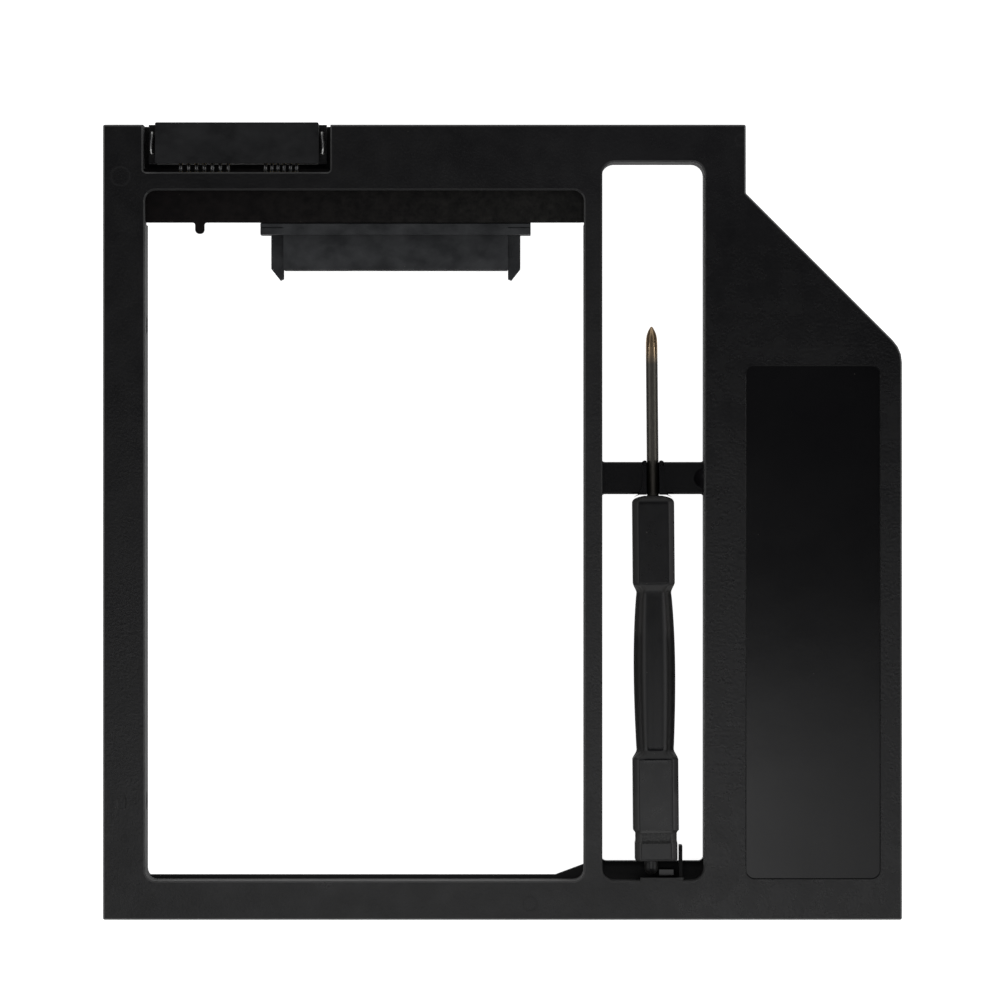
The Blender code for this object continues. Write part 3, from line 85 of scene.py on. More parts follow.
class Shader:
    """A node material, with short calls for the nodes that this scene uses."""

    def __init__(self, name, colour, roughness, metallic=0.0, specular=0.5):
        self.material = bpy.data.materials.new(name)
        self.material.use_nodes = True
        self.tree = self.material.node_tree
        self.surface = self.tree.nodes["Principled BSDF"]
        self.surface.inputs["Base Color"].default_value = (*colour, 1.0)
        self.surface.inputs["Roughness"].default_value = roughness
        self.surface.inputs["Metallic"].default_value = metallic
        self.surface.inputs["Specular IOR Level"].default_value = specular
        self.place = self.tree.nodes.new("ShaderNodeTexCoord").outputs["Object"]

    def node(self, kind, inputs=None, **settings):
        made = self.tree.nodes.new("ShaderNode" + kind)
        for key, value in settings.items():
            setattr(made, key, value)
        for key, value in (inputs or {}).items():
            self.feed(made.inputs[key], value)
        return made

    def feed(self, socket, value):
        if isinstance(value, bpy.types.NodeSocket):
            self.tree.links.new(value, socket)
        else:
            socket.default_value = value

    def math(self, operation, first, second=0.0):
        return self.node("Math", {0: first, 1: second}, operation=operation).outputs[0]

    def times(self, first, second):
        return self.math("MULTIPLY", first, second)

    def most(self, first, *others):
        """The greatest of several values."""
        for other in others:
            first = self.math("MAXIMUM", first, other)
        return first

    def remap(self, value, low, high, out_low=0.0, out_high=1.0):
        made = self.node("MapRange", {"Value": value, "From Min": low, "From Max": high,
                                      "To Min": out_low, "To Max": out_high})
        return made.outputs["Result"]

    def spread(self, noise, low=0.0, high=1.0):
        """Maps the middle of a noise's range onto low to high."""
        return self.remap(noise, 0.3, 0.7, low, high)

    def mix(self, share, first, second):
        """A colour between two colours."""
        made = self.node("Mix", data_type="RGBA")
        self.feed(made.inputs[0], share)
        for socket, value in ((made.inputs[6], first), (made.inputs[7], second)):
            plain = not isinstance(value, bpy.types.NodeSocket)
            self.feed(socket, (*value, 1.0) if plain else value)
        return made.outputs[2]

    def stretched(self, scale):
        return self.node("Mapping", {"Vector": self.place, "Scale": scale}).outputs[0]

    def noise(self, size, detail=2.0, rough=0.5, stretch=None):
        """Noise from 0 to 1 whose blots are about size metres across."""
        place = self.stretched(stretch) if stretch else self.place
        made = self.node("TexNoise", {"Vector": place, "Scale": 1.0 / size,
                                      "Detail": detail, "Roughness": rough})
        return made.outputs["Fac"]

    def specks(self, spacing, radius, share):
        """A mask of small round specks, on a share of the cells of a loose grid."""
        cells = self.node("TexVoronoi", {"Vector": self.place, "Scale": 1.0 / spacing})
        near = self.remap(cells.outputs["Distance"], radius / spacing, 0.4 * radius / spacing)
        chosen = self.node("SeparateColor", {"Color": cells.outputs["Color"]})
        return self.times(near, self.math("LESS_THAN", chosen.outputs[0], share))

    def along(self, axis):
        """The place along an axis, in metres."""
        return self.node("SeparateXYZ", {"Vector": self.place}).outputs[axis]

    def facing(self, axis):
        """How far the surface faces along an axis, from -1 to 1."""
        normal = self.node("TexCoord").outputs["Normal"]
        return self.node("SeparateXYZ", {"Vector": normal}).outputs[axis]

    def level(self):
        """1 on level surfaces, falling to 0 on upright ones."""
        return self.math("ABSOLUTE", self.facing("Z"))

    def upright(self):
        """1 on walls that stand upright, 0 on level and sloped surfaces."""
        return self.math("LESS_THAN", self.level(), UPRIGHT_LIMIT)

    def below_face(self):
        """1 on every surface lower than the frame's textured face, 0 on the face."""
        return self.math("LESS_THAN", self.along("Z"), FACE - TEXTURE_DEPTH * MM)

    def band(self, axis, low, high):
        """1 between two places along an axis, in millimetres, and 0 elsewhere."""
        value = self.along(axis)
        return self.times(self.math("GREATER_THAN", value, low * MM),
                          self.math("LESS_THAN", value, high * MM))

    def soft_band(self, axis, low, high, fade):
        """Like band, but with ends that fade over some millimetres."""
        value = self.along(axis)
        return self.times(self.remap(value, (low - fade) * MM, low * MM),
                          self.remap(value, high * MM, (high + fade) * MM, 1.0, 0.0))

    def box_mask(self, xs, ys, zs):
        """1 inside a box given in millimetres, 0 outside it."""
        flat = self.times(self.band("X", *xs), self.band("Y", *ys))
        return self.times(flat, self.band("Z", *zs))

    def ring(self, x, y, radius, width):
        """1 on a thin circle on the face, fading to 0 beside it. Sizes are in millimetres."""
        flat = self.stretched((1.0, 1.0, 0.0))
        away = self.node("VectorMath", {0: flat, 1: (x * MM, y * MM, 0.0)}, operation="DISTANCE")
        off = self.math("ABSOLUTE", self.math("SUBTRACT", away.outputs["Value"], radius * MM))
        return self.remap(off, 0.0, width * MM, 1.0, 0.0)

    def relief(self, height, depth, below=None):
        """Bump from a height of 0 to 1 that stands for a depth in metres."""
        made = self.node("Bump", {"Height": height, "Distance": depth, "Strength": 1.0})
        if below is not None:
            self.feed(made.inputs["Normal"], below)
        return made.outputs[0]

    def shine(self, value):
        """Sets how strongly the surface reflects straight on; 0.5 is plain plastic."""
        self.feed(self.surface.inputs["Specular IOR Level"], value)

    def finish(self, colour, roughness=None, normal=None):
        for key, value in (("Base Color", colour), ("Roughness", roughness), ("Normal", normal)):
            if value is not None:
                self.feed(self.surface.inputs[key], value)
        return self.material


def caddy_colour(made, x, blotch, cloud):
    """Near-black, a touch lighter on the centre rib, with painted light in the dish and a painted
    sheen at the rear right.
    """
    black, charcoal = (0.0016, 0.0016, 0.0020), (0.0030, 0.0029, 0.0032)
    rib_colour, dish_painted_light = (0.0125, 0.0125, 0.0125), (0.0110, 0.0100, 0.0120)
    rear_sheen_colour, dust_colour = (0.0062, 0.0060, 0.0068), (0.085, 0.08, 0.072)
    rib_x, rib_y = CENTRE_RIB
    rib = made.times(made.band("X", *rib_x), made.soft_band("Y", *rib_y, 2.5))
    # Painted sheen: the face is coloured lighter towards the rear right
    rear_right_sheen = made.times(made.soft_band("Y", *REAR_SHEEN_BAND, 14.0),
                            made.remap(x, -25 * MM, 15 * MM))
    coarse_dust = made.specks(3.1 * MM, 0.10 * MM, 0.30)
    fine_dust = made.specks(1.4 * MM, 0.055 * MM, 0.22)
    dust = made.most(coarse_dust, made.times(fine_dust, 0.6))
    tone = made.math("ADD", made.spread(blotch, 0.0, 0.5),
                     made.remap(cloud, 0.35, 0.65, 0.0, 0.5))
    colour = made.mix(tone, black, charcoal)
    colour = made.mix(made.times(rib, 0.5), colour, rib_colour)
    # Painted light: the thumb dish is coloured lighter than the plastic round it
    colour = made.mix(made.box_mask(*CROSSBAR_DISH), colour, dish_painted_light)
    colour = made.mix(made.times(rear_right_sheen, 0.8), colour, rear_sheen_colour)
    return made.mix(made.times(dust, 0.55), colour, dust_colour)


def caddy_roughness(made, x, blotch, cloud, polished):
    """A satin face, a glossy panel, and matt walls and deep surfaces."""
    face = made.math("ADD", made.spread(blotch, 0.265, 0.335), made.spread(cloud, 0.0, 0.03))
    face = made.math("SUBTRACT", face, made.remap(x, 20 * MM, 32 * MM, 0.0, 0.045))
    rough = made.math("ADD", made.times(face, made.math("SUBTRACT", 1.0, polished)),
                      made.times(made.spread(cloud, 0.14, 0.18), polished))
    matt = [made.times(mask, value)
            for mask, value in ((made.band("Z", *DEEP_SURFACES), 0.62), (made.upright(), 0.80),
                                (made.box_mask(*CROSSBAR), 0.19),
                                (made.box_mask(*POCKET_ARM), 0.70),
                                (made.box_mask(*BAY_REAR_WALL), 0.85))]
    marks = made.most(*(made.ring(*mark) for mark in MOULD_MARKS))
    return made.math("ADD", made.most(rough, *matt), made.times(marks, 0.10))


def caddy_plastic():
    """Near-black moulded plastic: fine spark texture, faint blotches, dust, a glossy panel."""
    made = Shader("caddy_plastic", (0.008, 0.008, 0.009), 0.5)
    x = made.along("X")
    polished = made.below_face()
    grain = made.noise(0.50 * MM, 3.0, 0.65)
    blotch = made.noise(3.5 * MM, 4.0, 0.6)
    cloud = made.noise(22 * MM, 2.0)
    panel_fade = made.times(made.remap(x, 30 * MM, 62 * MM, 0.05, 0.17), polished)
    made.shine(made.math("SUBTRACT", 0.5, panel_fade))
    texture = made.times(grain, made.remap(polished, 0.0, 1.0, 1.0, 0.12))
    panel_waves = made.times(made.noise(14 * MM, 2.0), polished)
    normal = made.relief(made.noise(9 * MM, 1.0), 0.012 * MM)
    normal = made.relief(panel_waves, 0.032 * MM, normal)
    normal = made.relief(texture, 0.034 * MM, normal)
    return made.finish(caddy_colour(made, x, blotch, cloud),
                       caddy_roughness(made, x, blotch, cloud, polished), normal)


def board_mask():
    """Dark solder mask, browner at the left, with the faint weave of glass cloth under it."""
    left_dark, left_light = (0.0014, 0.0008, 0.0009), (0.0040, 0.0020, 0.0020)
    right_dark, right_light = (0.0060, 0.0059, 0.0054), (0.0165, 0.0160, 0.0144)
    dust_colour = (0.10, 0.085, 0.07)
    made = Shader("board_mask", (0.011, 0.008, 0.007), 0.4, specular=0.22)
    weave = made.times(made.noise(0.30 * MM, 1.0, 0.5, (1.0, 6.0, 1.0)),
                       made.noise(0.30 * MM, 1.0, 0.5, (6.0, 1.0, 1.0)))
    blot = made.noise(1.1 * MM, 3.0, 0.7)
    tone = made.remap(blot, 0.35, 0.7)
    across = made.remap(made.along("X"), BOARD_LOW.x, BOARD_HIGH.x)
    colour = made.mix(across, made.mix(tone, left_dark, left_light),
                      made.mix(tone, right_dark, right_light))
    dust = made.specks(1.3 * MM, 0.09 * MM, 0.25)
    colour = made.mix(made.times(dust, 0.5), colour, dust_colour)
    return made.finish(colour, made.spread(blot, 0.30, 0.42), made.relief(weave, 0.010 * MM))


def connector_plastic(name, dark, light):
    """Smooth glass-filled nylon with flow marks, whose lighter clouds are partly painted
    reflection, a little dust and matt sides.
    """
    dust_colour = (0.12, 0.115, 0.10)
    made = Shader(name, light, 0.38)
    flow_marks_and_sheen = made.noise(3.6 * MM, 4.0, 0.6, (0.8, 1.0, 1.0))
    fine = made.noise(0.25 * MM, 2.0)
    dust = made.specks(2.0 * MM, 0.10 * MM, 0.2)
    # Flow marks in the colour, partly real and partly a painted cloudy reflection
    colour = made.mix(made.remap(flow_marks_and_sheen, 0.35, 0.65), dark, light)
    colour = made.mix(made.times(dust, 0.6), colour, dust_colour)
    rough = made.most(made.spread(flow_marks_and_sheen, 0.30, 0.42), made.times(made.upright(), 0.80))
    return made.finish(colour, rough, made.relief(fine, 0.006 * MM))


def handle_colour(made, blot, dirt):
    """Black, with a painted highlight that greys the slanted sides, most of all to the right, and
    dirty in the groove.
    """
    black, charcoal = (0.0030, 0.0030, 0.0034), (0.0050, 0.0050, 0.0055)
    side_highlight_colour, right_highlight_colour = (0.026, 0.025, 0.024), (0.036, 0.034, 0.035)
    dirt_colour, dust_colour = (0.026, 0.026, 0.024), (0.14, 0.135, 0.125)
    grip = made.soft_band("Y", *GRIP_Y, 1.5)
    # Painted highlight: slanted sides coloured lighter, less on the grip
    side = made.times(made.remap(made.level(), 0.55, 0.92, 1.0, 0.0),
                      made.remap(grip, 0.0, 1.0, 1.0, 0.35))
    # Painted highlight: sides that face right coloured lighter still, less on the grip
    right = made.times(made.remap(made.facing("X"), 0.45, 0.68),
                       made.remap(made.level(), 0.55, 0.65))
    right = made.times(right, made.remap(grip, 0.0, 1.0, 1.0, 0.1))
    dust = made.specks(1.1 * MM, 0.09 * MM, 0.20)
    colour = made.mix(made.remap(blot, 0.35, 0.7), black, charcoal)
    colour = made.mix(side, colour, side_highlight_colour)
    colour = made.mix(right, colour, right_highlight_colour)
    colour = made.mix(dirt, colour, dirt_colour)
    return made.mix(made.times(dust, 0.7), colour, dust_colour)


def handle_roughness(made, blot):
    """Semi-gloss on top, shinier in a worn patch, matt on the grip and the slanted sides."""
    worn = made.times(made.soft_band("Y", *WORN_PATCH_Y, 0.7),
                      made.soft_band("X", *WORN_PATCH_X, 0.3))
    rough = made.math("SUBTRACT", made.spread(blot, 0.27, 0.33), made.times(worn, 0.18))
    grip = made.soft_band("Y", *MATT_GRIP_Y, 1.0)
    rough = made.math("ADD", rough, made.times(grip, 0.12))
    return made.most(rough, made.remap(made.level(), 0.93, 0.975, 0.50, 0.0),
                     made.remap(made.level(), 0.40, 0.60, 0.75, 0.0))


def handle_plastic():
    """Semi-gloss black handle plastic with fine polish lines along it, dirt and dust."""
    made = Shader("handle_plastic", (0.010, 0.010, 0.011), 0.33)
    lines = made.noise(0.35 * MM, 2.0, 0.5, (3.0, 0.15, 3.0))
    blot = made.noise(2.4 * MM, 3.0, 0.6)
    groove = made.soft_band("Y", *DIRTY_GROOVE_Y, 0.25)
    crumbs = made.noise(0.30 * MM, 3.0, 0.7)
    dirt = made.times(groove, made.remap(crumbs, 0.45, 0.65))
    made.shine(made.remap(made.along("Y"), -46.0 * MM, -16.0 * MM, 0.61, 0.38))
    normal = made.relief(made.times(crumbs, groove), 0.04 * MM)
    normal = made.relief(lines, 0.006 * MM, normal)
    return made.finish(handle_colour(made, blot, dirt), handle_roughness(made, blot), normal)


def metal(name, dark, light, roughness, grain):
    """Plated metal whose tone and roughness vary with a fine grain."""
    made = Shader(name, light, roughness, 1.0)
    fine = made.noise(grain, 3.0, 0.6)
    blot = made.noise(1.3 * MM, 2.0)
    share = made.times(made.spread(fine), made.remap(blot, 0.2, 0.8, 0.5, 1.0))
    rough = made.spread(fine, roughness * 0.75, roughness * 1.3)
    return made.finish(made.mix(share, dark, light), rough, made.relief(fine, 0.003 * MM))


def tool_steel():
    """Plated steel, brushed along the shaft, with a bronze tint over the cross point."""
    steel_dark, steel_light = (0.075, 0.070, 0.061), (0.125, 0.117, 0.102)
    bronze_dark, bronze_light = (0.30, 0.20, 0.11), (0.60, 0.45, 0.29)
    made = Shader("tool_steel", (0.42, 0.38, 0.33), 0.3, 1.0)
    lines = made.noise(0.16 * MM, 3.0, 0.6, (5.0, 0.12, 5.0))
    point = made.remap(made.along("Y"), BLADE_HIGH.y - 6.0 * MM, BLADE_HIGH.y - 3.2 * MM)
    tone = made.spread(lines)
    colour = made.mix(point, made.mix(tone, steel_dark, steel_light),
                      made.mix(tone, bronze_dark, bronze_light))
    rough = made.math("ADD", made.spread(lines, 0.22, 0.34),
                      made.remap(point, 0.0, 1.0, 0.20, 0.0))
    return made.finish(colour, rough, made.relief(lines, 0.004 * MM))


def ceramic(name, dark, light, roughness):
    """The body of a chip part, with a fine matt grain."""
    made = Shader(name, light, roughness)
    grain = made.noise(0.12 * MM, 3.0, 0.6)
    rough = made.spread(grain, roughness * 0.8, roughness * 1.15)
    return made.finish(made.mix(grain, dark, light), rough, made.relief(grain, 0.004 * MM))


# Name: dark colour, light colour
NYLONS = {
    "plug_plastic": ((0.0046, 0.0048, 0.0053), (0.0098, 0.0101, 0.0109)),
    "connector_plastic": ((0.0155, 0.0165, 0.0180), (0.0360, 0.0375, 0.0400)),
}

# Name: dark colour, light colour, roughness, size of the grain in metres
METALS = {
    "contact_metal": ((0.70, 0.49, 0.20), (0.95, 0.73, 0.38), 0.24, 0.12 * MM),
    "tinned_metal": ((0.50, 0.50, 0.49), (0.78, 0.78, 0.76), 0.30, 0.15 * MM),
    "screw_metal": ((0.42, 0.42, 0.43), (0.70, 0.70, 0.72), 0.30, 0.10 * MM),
    "solder": ((0.03, 0.03, 0.03), (0.26, 0.26, 0.26), 0.40, 0.30 * MM),
}

# Name: dark colour, light colour, roughness
CERAMICS = {
    "chip_ceramic": ((0.30, 0.22, 0.15), (0.42, 0.32, 0.22), 0.45),
    "chip_black": ((0.012, 0.012, 0.012), (0.03, 0.03, 0.03), 0.40),
}

MATERIALS = {
    "caddy_plastic": caddy_plastic(),
    "board_mask": board_mask(),
    "handle_plastic": handle_plastic(),
    "tool_steel": tool_steel(),
}
for make, looks in ((connector_plastic, NYLONS), (metal, METALS), (ceramic, CERAMICS)):
    for name, values in looks.items():
        MATERIALS[name] = make(name, *values)

# How the name of a CAD node starts, and the finish that it gets
FINISH_OF = (
    ("caddy", "caddy_plastic"),
    ("circuit", "board_mask"),
    ("drive_socket_housing", "connector_plastic"),
    ("host_plug_housing", "plug_plastic"),
    ("drive_contact", "contact_metal"),
    ("host_contact", "contact_metal"),
    ("drive_socket_tab", "tinned_metal"),
    ("host_plug_clip", "tinned_metal"),
    ("board_screw", "screw_metal"),
    ("board_capacitor", "chip_ceramic"),
    ("board_resistor", "chip_black"),
    ("screwdriver_handle", "handle_plastic"),
    ("screwdriver_blade", "tool_steel"),
)


def finish_of(name):
    for start, finish in FINISH_OF:
        if name.startswith(start):
            return finish
    raise ValueError(name)


def smooth_by_angle():
    """A node group that shades smooth across edges flatter than 30 degrees."""
    group = bpy.data.node_groups.new("smooth_by_angle", "GeometryNodeTree")
    group.interface.new_socket("Geometry", in_out="INPUT", socket_type="NodeSocketGeometry")
    group.interface.new_socket("Geometry", in_out="OUTPUT", socket_type="NodeSocketGeometry")
    start = group.nodes.new("NodeGroupInput")
    end = group.nodes.new("NodeGroupOutput")
    angle = group.nodes.new("GeometryNodeInputMeshEdgeAngle")
    flat = group.nodes.new("FunctionNodeCompare")
    flat.data_type, flat.operation = "FLOAT", "LESS_EQUAL"
    flat.inputs[1].default_value = math.radians(30.0)
    faces = group.nodes.new("GeometryNodeSetShadeSmooth")
    faces.domain = "FACE"
    edges = group.nodes.new("GeometryNodeSetShadeSmooth")
    edges.domain = "EDGE"
    weld = group.nodes.new("GeometryNodeMergeByDistance")
    weld.inputs["Distance"].default_value = 0.5e-6
    link = group.links.new
    link(start.outputs[0], weld.inputs[0])
    link(weld.outputs[0], faces.inputs[0])
    link(angle.outputs["Unsigned Angle"], flat.inputs[0])
    link(faces.outputs[0], edges.inputs[0])
    link(flat.outputs[0], edges.inputs["Shade Smooth"])
    link(edges.outputs[0], end.inputs[0])
    return group


SMOOTHING = smooth_by_angle()


def dress(item, finish):
    """Gives a mesh one of the finishes and smooths its round faces."""
    item.data.materials.clear()
    item.data.materials.append(MATERIALS[finish])
    smoothing = item.modifiers.new("smooth", "NODES")
    smoothing.node_group = SMOOTHING


for name, node in nodes.items():
    dress(node, finish_of(name))


# Shapes that the pieces are made of

def mesh_piece(name, points, faces, slot, body, *replaced):
    """A closed mesh in metres that rides on a body, and may stand for CAD nodes."""
    data = bpy.data.meshes.new(name)
    data.from_pydata([tuple(p) for p in points], [], faces)
    data.validate()
    item = bpy.data.objects.new(name, data)
    bpy.context.scene.collection.objects.link(item)
    dress(item, slot)
    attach(item, body)
    if replaced:
        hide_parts(*replaced)


def loft(rings):
    """Points and faces of a closed skin through rings of equal length."""
    sides = len(rings[0])
    points = [point for ring in rings for point in ring]
    faces = []
    for a in range(0, (len(rings) - 1) * sides, sides):
        b = a + sides
        for i in range(sides):
            j = (i + 1) % sides
            faces.append((a + i, a + j, b + j, b + i))
    last = len(points) - sides
    faces.append(tuple(reversed(range(sides))))
    faces.append(tuple(last + i for i in range(sides)))
    return points, faces


def merged(parts):
    """Several (points, faces) pairs as one."""
    points, faces = [], []
    for some_points, some_faces in parts:
        start = len(points)
        points += list(some_points)
        faces += [tuple(start + i for i in face) for face in some_faces]
    return points, faces


def angles(sides):
    return [2 * math.pi * i / sides for i in range(sides)]


def mound(centre, size, steps=5, sides=14):
    """A low rounded heap: points and faces, in metres."""
    rings = []
    for i in range(steps):
        turn = math.radians(88.0 * i / (steps - 1))
        rings.append([Vector((centre[0] + size[0] * math.cos(turn) * math.cos(a),
                              centre[1] + size[1] * math.cos(turn) * math.sin(a),
                              centre[2] + size[2] * math.sin(turn)))
                      for a in angles(sides)])
    return loft(rings)


def hanging_mound(x, y, size, steps=5, sides=14):
    """A mound that hangs from the board's underside."""
    points, faces = mound((x, y, 0.0), size, steps, sides)
    points = [Vector((p.x, p.y, BOARD_LOW.z - p.z)) for p in points]
    return points, [tuple(reversed(face)) for face in faces]


def slab(x0, x1, y0, y1, z0, z1):
    points = [(x, y, z) for z in (z0, z1) for x, y in ((x0, y0), (x1, y0), (x1, y1), (x0, y1))]
    return points, [(3, 2, 1, 0), (4, 5, 6, 7), (0, 1, 5, 4), (1, 2, 6, 5), (2, 3, 7, 6),
                    (3, 0, 4, 7)]


# The screwdriver, in millimetres: its axis at the crossbar's middle, and its tilt from above
TOOL_AXIS = (24.174, 6.885, 5.05)
TOOL_TILT = math.radians(0.5)

# Places along the handle
HANDLE_BUTT, HANDLE_TOP = -61.485, -2.835
BLOCK_END, UPPER_START, SHOULDER = -45.185, -16.835, 1.6
GROOVE_START, GROOVE_LENGTH = -58.685, 2.2

# Half widths: the butt's block, the upper block, the butt's cap, the groove and the grip
BLOCK, UPPER, CAP, GROOVE_FLOOR = 3.65, 3.35, 3.40, 3.30
LOWER_WAIST, WAIST, SWELL = 3.00, 2.80, 3.35

# The blocks' broken corners, how sharp their edges are, and the grip's lobes
FACET, SHARPNESS = 0.9, 70.0
LOBES, FLUTE_DEPTH = 6, 0.27

# Rounded ends: distance from the end with the width taken off, or with the share left
BUTT_EDGE = ((0.0, 0.30), (0.04, 0.17), (0.12, 0.06), (0.28, 0.0), (0.40, 0.0))
NOSE = ((1.6, 1.0), (1.4, 1.0), (1.0, 0.995), (0.7, 0.955), (0.5, 0.895), (0.35, 0.81),
        (0.2, 0.69), (0.1, 0.57), (0.0, 0.42))

# Rings of the handle's skin. A support ring beside an edge keeps the shading flat
HANDLE_SIDES, GROOVE_STEPS, SHOULDER_STEPS, GRIP_STEPS, SUPPORT = 192, 12, 8, 28, 0.12

# The bore round the blade and the peg on the butt
BORE_SHARE, BORE_DEPTH = 0.68, 1.2
PEG_RADIUS, PEG_LENGTH, PEG_ROOT, PEG_OFFSET, PEG_SIDES = 1.1, 1.2, 0.5, -0.8, 40

# The blade: its radius and reach, its cross point and the point's four V flutes
BLADE_RADIUS, BLADE_SIDES, BLADE_ROOT, BLADE_REACH = 0.95, 96, 1.1, 27.2
PLAIN_END, FLUTE_START, FLUTE_STEP, FLUTE_STEPS = 8.0, 5.7, 0.25, 10
FLUTE_SLOPE = math.atan2(1.6, 1.9)
FLUTE_ROOT_END, FLUTE_BEYOND = 0.08, 1.0
POINT = ((3.3, 1.0), (2.6, 0.99), (2.0, 0.95), (1.5, 0.86), (1.1, 0.74), (0.7, 0.57),
         (0.4, 0.40), (0.15, 0.24), (0.0, 0.10))


def to_axis(rings):
    """Lays rings drawn round Y, in millimetres, onto the tool's tilted axis, in metres."""
    turn = Matrix.Rotation(TOOL_TILT, 4, "Z")
    shift = Matrix.Translation(Vector(TOOL_AXIS) * MM)
    return [[shift @ turn @ (Vector(p) * MM) for p in ring] for ring in rings]


def block_radius(angle, half):
    """From the axis to the side of a square with broken, slightly rounded corners."""
    across, up = abs(math.cos(angle)), abs(math.sin(angle))
    sides = (across / half, up / half, (across + up) / (2 * half - FACET))
    return sum(side ** SHARPNESS for side in sides) ** (-1 / SHARPNESS)


def grip_radius(angle, half):
    """From the axis to the side of the lobed grip."""
    return half - FLUTE_DEPTH * (1 - math.cos(LOBES * angle)) / 2


def handle_ring(along, block, grip=WAIST, share=0.0):
    """A section of the handle: a block's, the grip's, or a share of the way between them."""
    ring = []
    for angle in angles(HANDLE_SIDES):
        radius = (1 - share) * block_radius(angle, block) + share * grip_radius(angle, grip)
        ring.append((radius * math.cos(angle), along, radius * math.sin(angle)))
    return ring


def peg_ring(along, radius):
    return [(PEG_OFFSET + radius * math.cos(a), along, radius * math.sin(a))
            for a in angles(PEG_SIDES)]


def eased(share):
    return share * share * (3 - 2 * share)


def handle_rings():
    """Butt block with its groove, shoulder, fluted grip, shoulder, upper block and nose."""
    rings = [handle_ring(HANDLE_BUTT + back, CAP - taken) for back, taken in BUTT_EDGE]
    rings.append(handle_ring(GROOVE_START - SUPPORT, CAP))
    for i in range(GROOVE_STEPS + 1):
        share = i / GROOVE_STEPS
        rim = CAP + (BLOCK - CAP) * eased(share)
        dip = 0.0
        if 0 < i < GROOVE_STEPS:
            dip = (rim - GROOVE_FLOOR) * min(1.0, 1.7 * math.sin(math.pi * share))
        rings.append(handle_ring(GROOVE_START + GROOVE_LENGTH * share, rim - dip))
    rings.append(handle_ring(GROOVE_START + GROOVE_LENGTH + SUPPORT, BLOCK))
    rings.append(handle_ring(BLOCK_END - SUPPORT, BLOCK))
    for i in range(SHOULDER_STEPS + 1):
        share = i / SHOULDER_STEPS
        rings.append(handle_ring(BLOCK_END + SHOULDER * share, BLOCK, LOWER_WAIST, eased(share)))
    grip_start, grip_end = BLOCK_END + SHOULDER, UPPER_START - SHOULDER
    for i in range(1, GRIP_STEPS + 1):
        share = i / GRIP_STEPS
        waist = LOWER_WAIST + (WAIST - LOWER_WAIST) * share
        half = waist + (SWELL - waist) * math.sin(math.pi * share) ** 0.8
        rings.append(handle_ring(grip_start + (grip_end - grip_start) * share, BLOCK, half, 1.0))
    for i in range(1, SHOULDER_STEPS + 1):
        share = i / SHOULDER_STEPS
        rings.append(handle_ring(grip_end + SHOULDER * share, UPPER, WAIST, 1 - eased(share)))
    rings.append(handle_ring(UPPER_START + SUPPORT, UPPER))
    rings += [handle_ring(HANDLE_TOP - back, UPPER * wide) for back, wide in NOSE]
    return rings


def screwdriver_handle():
    """The handle with the bore round its blade, and the round-ended peg on its butt."""
    rings = handle_rings()
    bore = [[(x * BORE_SHARE, HANDLE_TOP + along, z * BORE_SHARE) for x, _, z in rings[-1]]
            for along in (0.0, -BORE_DEPTH)]
    peg = [peg_ring(HANDLE_BUTT + PEG_ROOT, PEG_RADIUS)]
    for i in range(7):
        turn = math.radians(15.0 * i)
        peg.append(peg_ring(HANDLE_BUTT - PEG_LENGTH - PEG_RADIUS * math.sin(turn),
                            max(PEG_RADIUS * math.cos(turn), 0.02)))
    peg.reverse()
    points, faces = merged([loft(to_axis(rings + bore)), loft(to_axis(peg))])
    mesh_piece("screwdriver_grip", points, faces, "handle_plastic", "screwdriver",
               "screwdriver_handle")


def blade_radius(angle, along, tip, radius):
    """From the axis to the skin of the cross point, with its four V flutes."""
    start = tip - FLUTE_START
    fall = (FLUTE_ROOT_END - BLADE_RADIUS) * (along - start) / (tip + FLUTE_BEYOND - start)
    root = BLADE_RADIUS + fall
    quarter = math.pi / 2
    off = abs((angle - quarter / 2) % quarter)
    off = min(off, quarter - off)
    if along <= start or off >= FLUTE_SLOPE:
        return radius
    return min(radius, root * math.sin(FLUTE_SLOPE) / math.sin(FLUTE_SLOPE - off))


def screwdriver_blade():
    """The round shaft with its cross point."""
    start, tip = HANDLE_TOP - BLADE_ROOT, HANDLE_TOP + BLADE_REACH
    outline = [(start, BLADE_RADIUS), (tip - PLAIN_END, BLADE_RADIUS)]
    outline += [(tip - FLUTE_START + FLUTE_STEP * i, BLADE_RADIUS) for i in range(FLUTE_STEPS)]
    outline += [(tip - back, BLADE_RADIUS * wide) for back, wide in POINT]
    rings = []
    for along, size in outline:
        ring = []
        for angle in angles(BLADE_SIDES):
            r = blade_radius(angle, along, tip, size)
            ring.append((r * math.cos(angle), along, r * math.sin(angle)))
        rings.append(ring)
    points, faces = loft(to_axis(rings))
    mesh_piece("screwdriver_shaft", points, faces, "tool_steel", "screwdriver",
               "screwdriver_blade")


# Trim of the board and its connectors, in millimetres unless a share is named

HOST_CONTACTS, DRIVE_CONTACTS = 13, 22

# Host solder: least value and random extra of its setback, half width, half length and height
HOST_SETBACK = (0.64, 0.06)
HOST_MOUND = ((0.36, 0.05), (0.86, 0.08), (0.52, 0.10))

# Drive solder: setback of the mounds from the rear of each contact or tab, and their sizes
CONTACT_SETBACK, CONTACT_MOUND = 0.35, (0.42, 0.62, 0.34)
TAB_SETBACK, TAB_MOUND_SHARE, TAB_MOUND_LENGTH, TAB_MOUND_HEIGHT = 0.5, 0.75, 0.9, 0.40

# Board ends: reach past the solid board, overlap into it, and the margins that keep clear
END_REACH, END_OVERLAP, END_LENGTH, END_REAR, END_SKIN = 0.48, 0.30, 8.58, 0.02, 0.01

# Chip end caps: share of the chip's length, and how far they stand proud
CAP_SHARE, CAP_SKIN = 0.22, 0.03

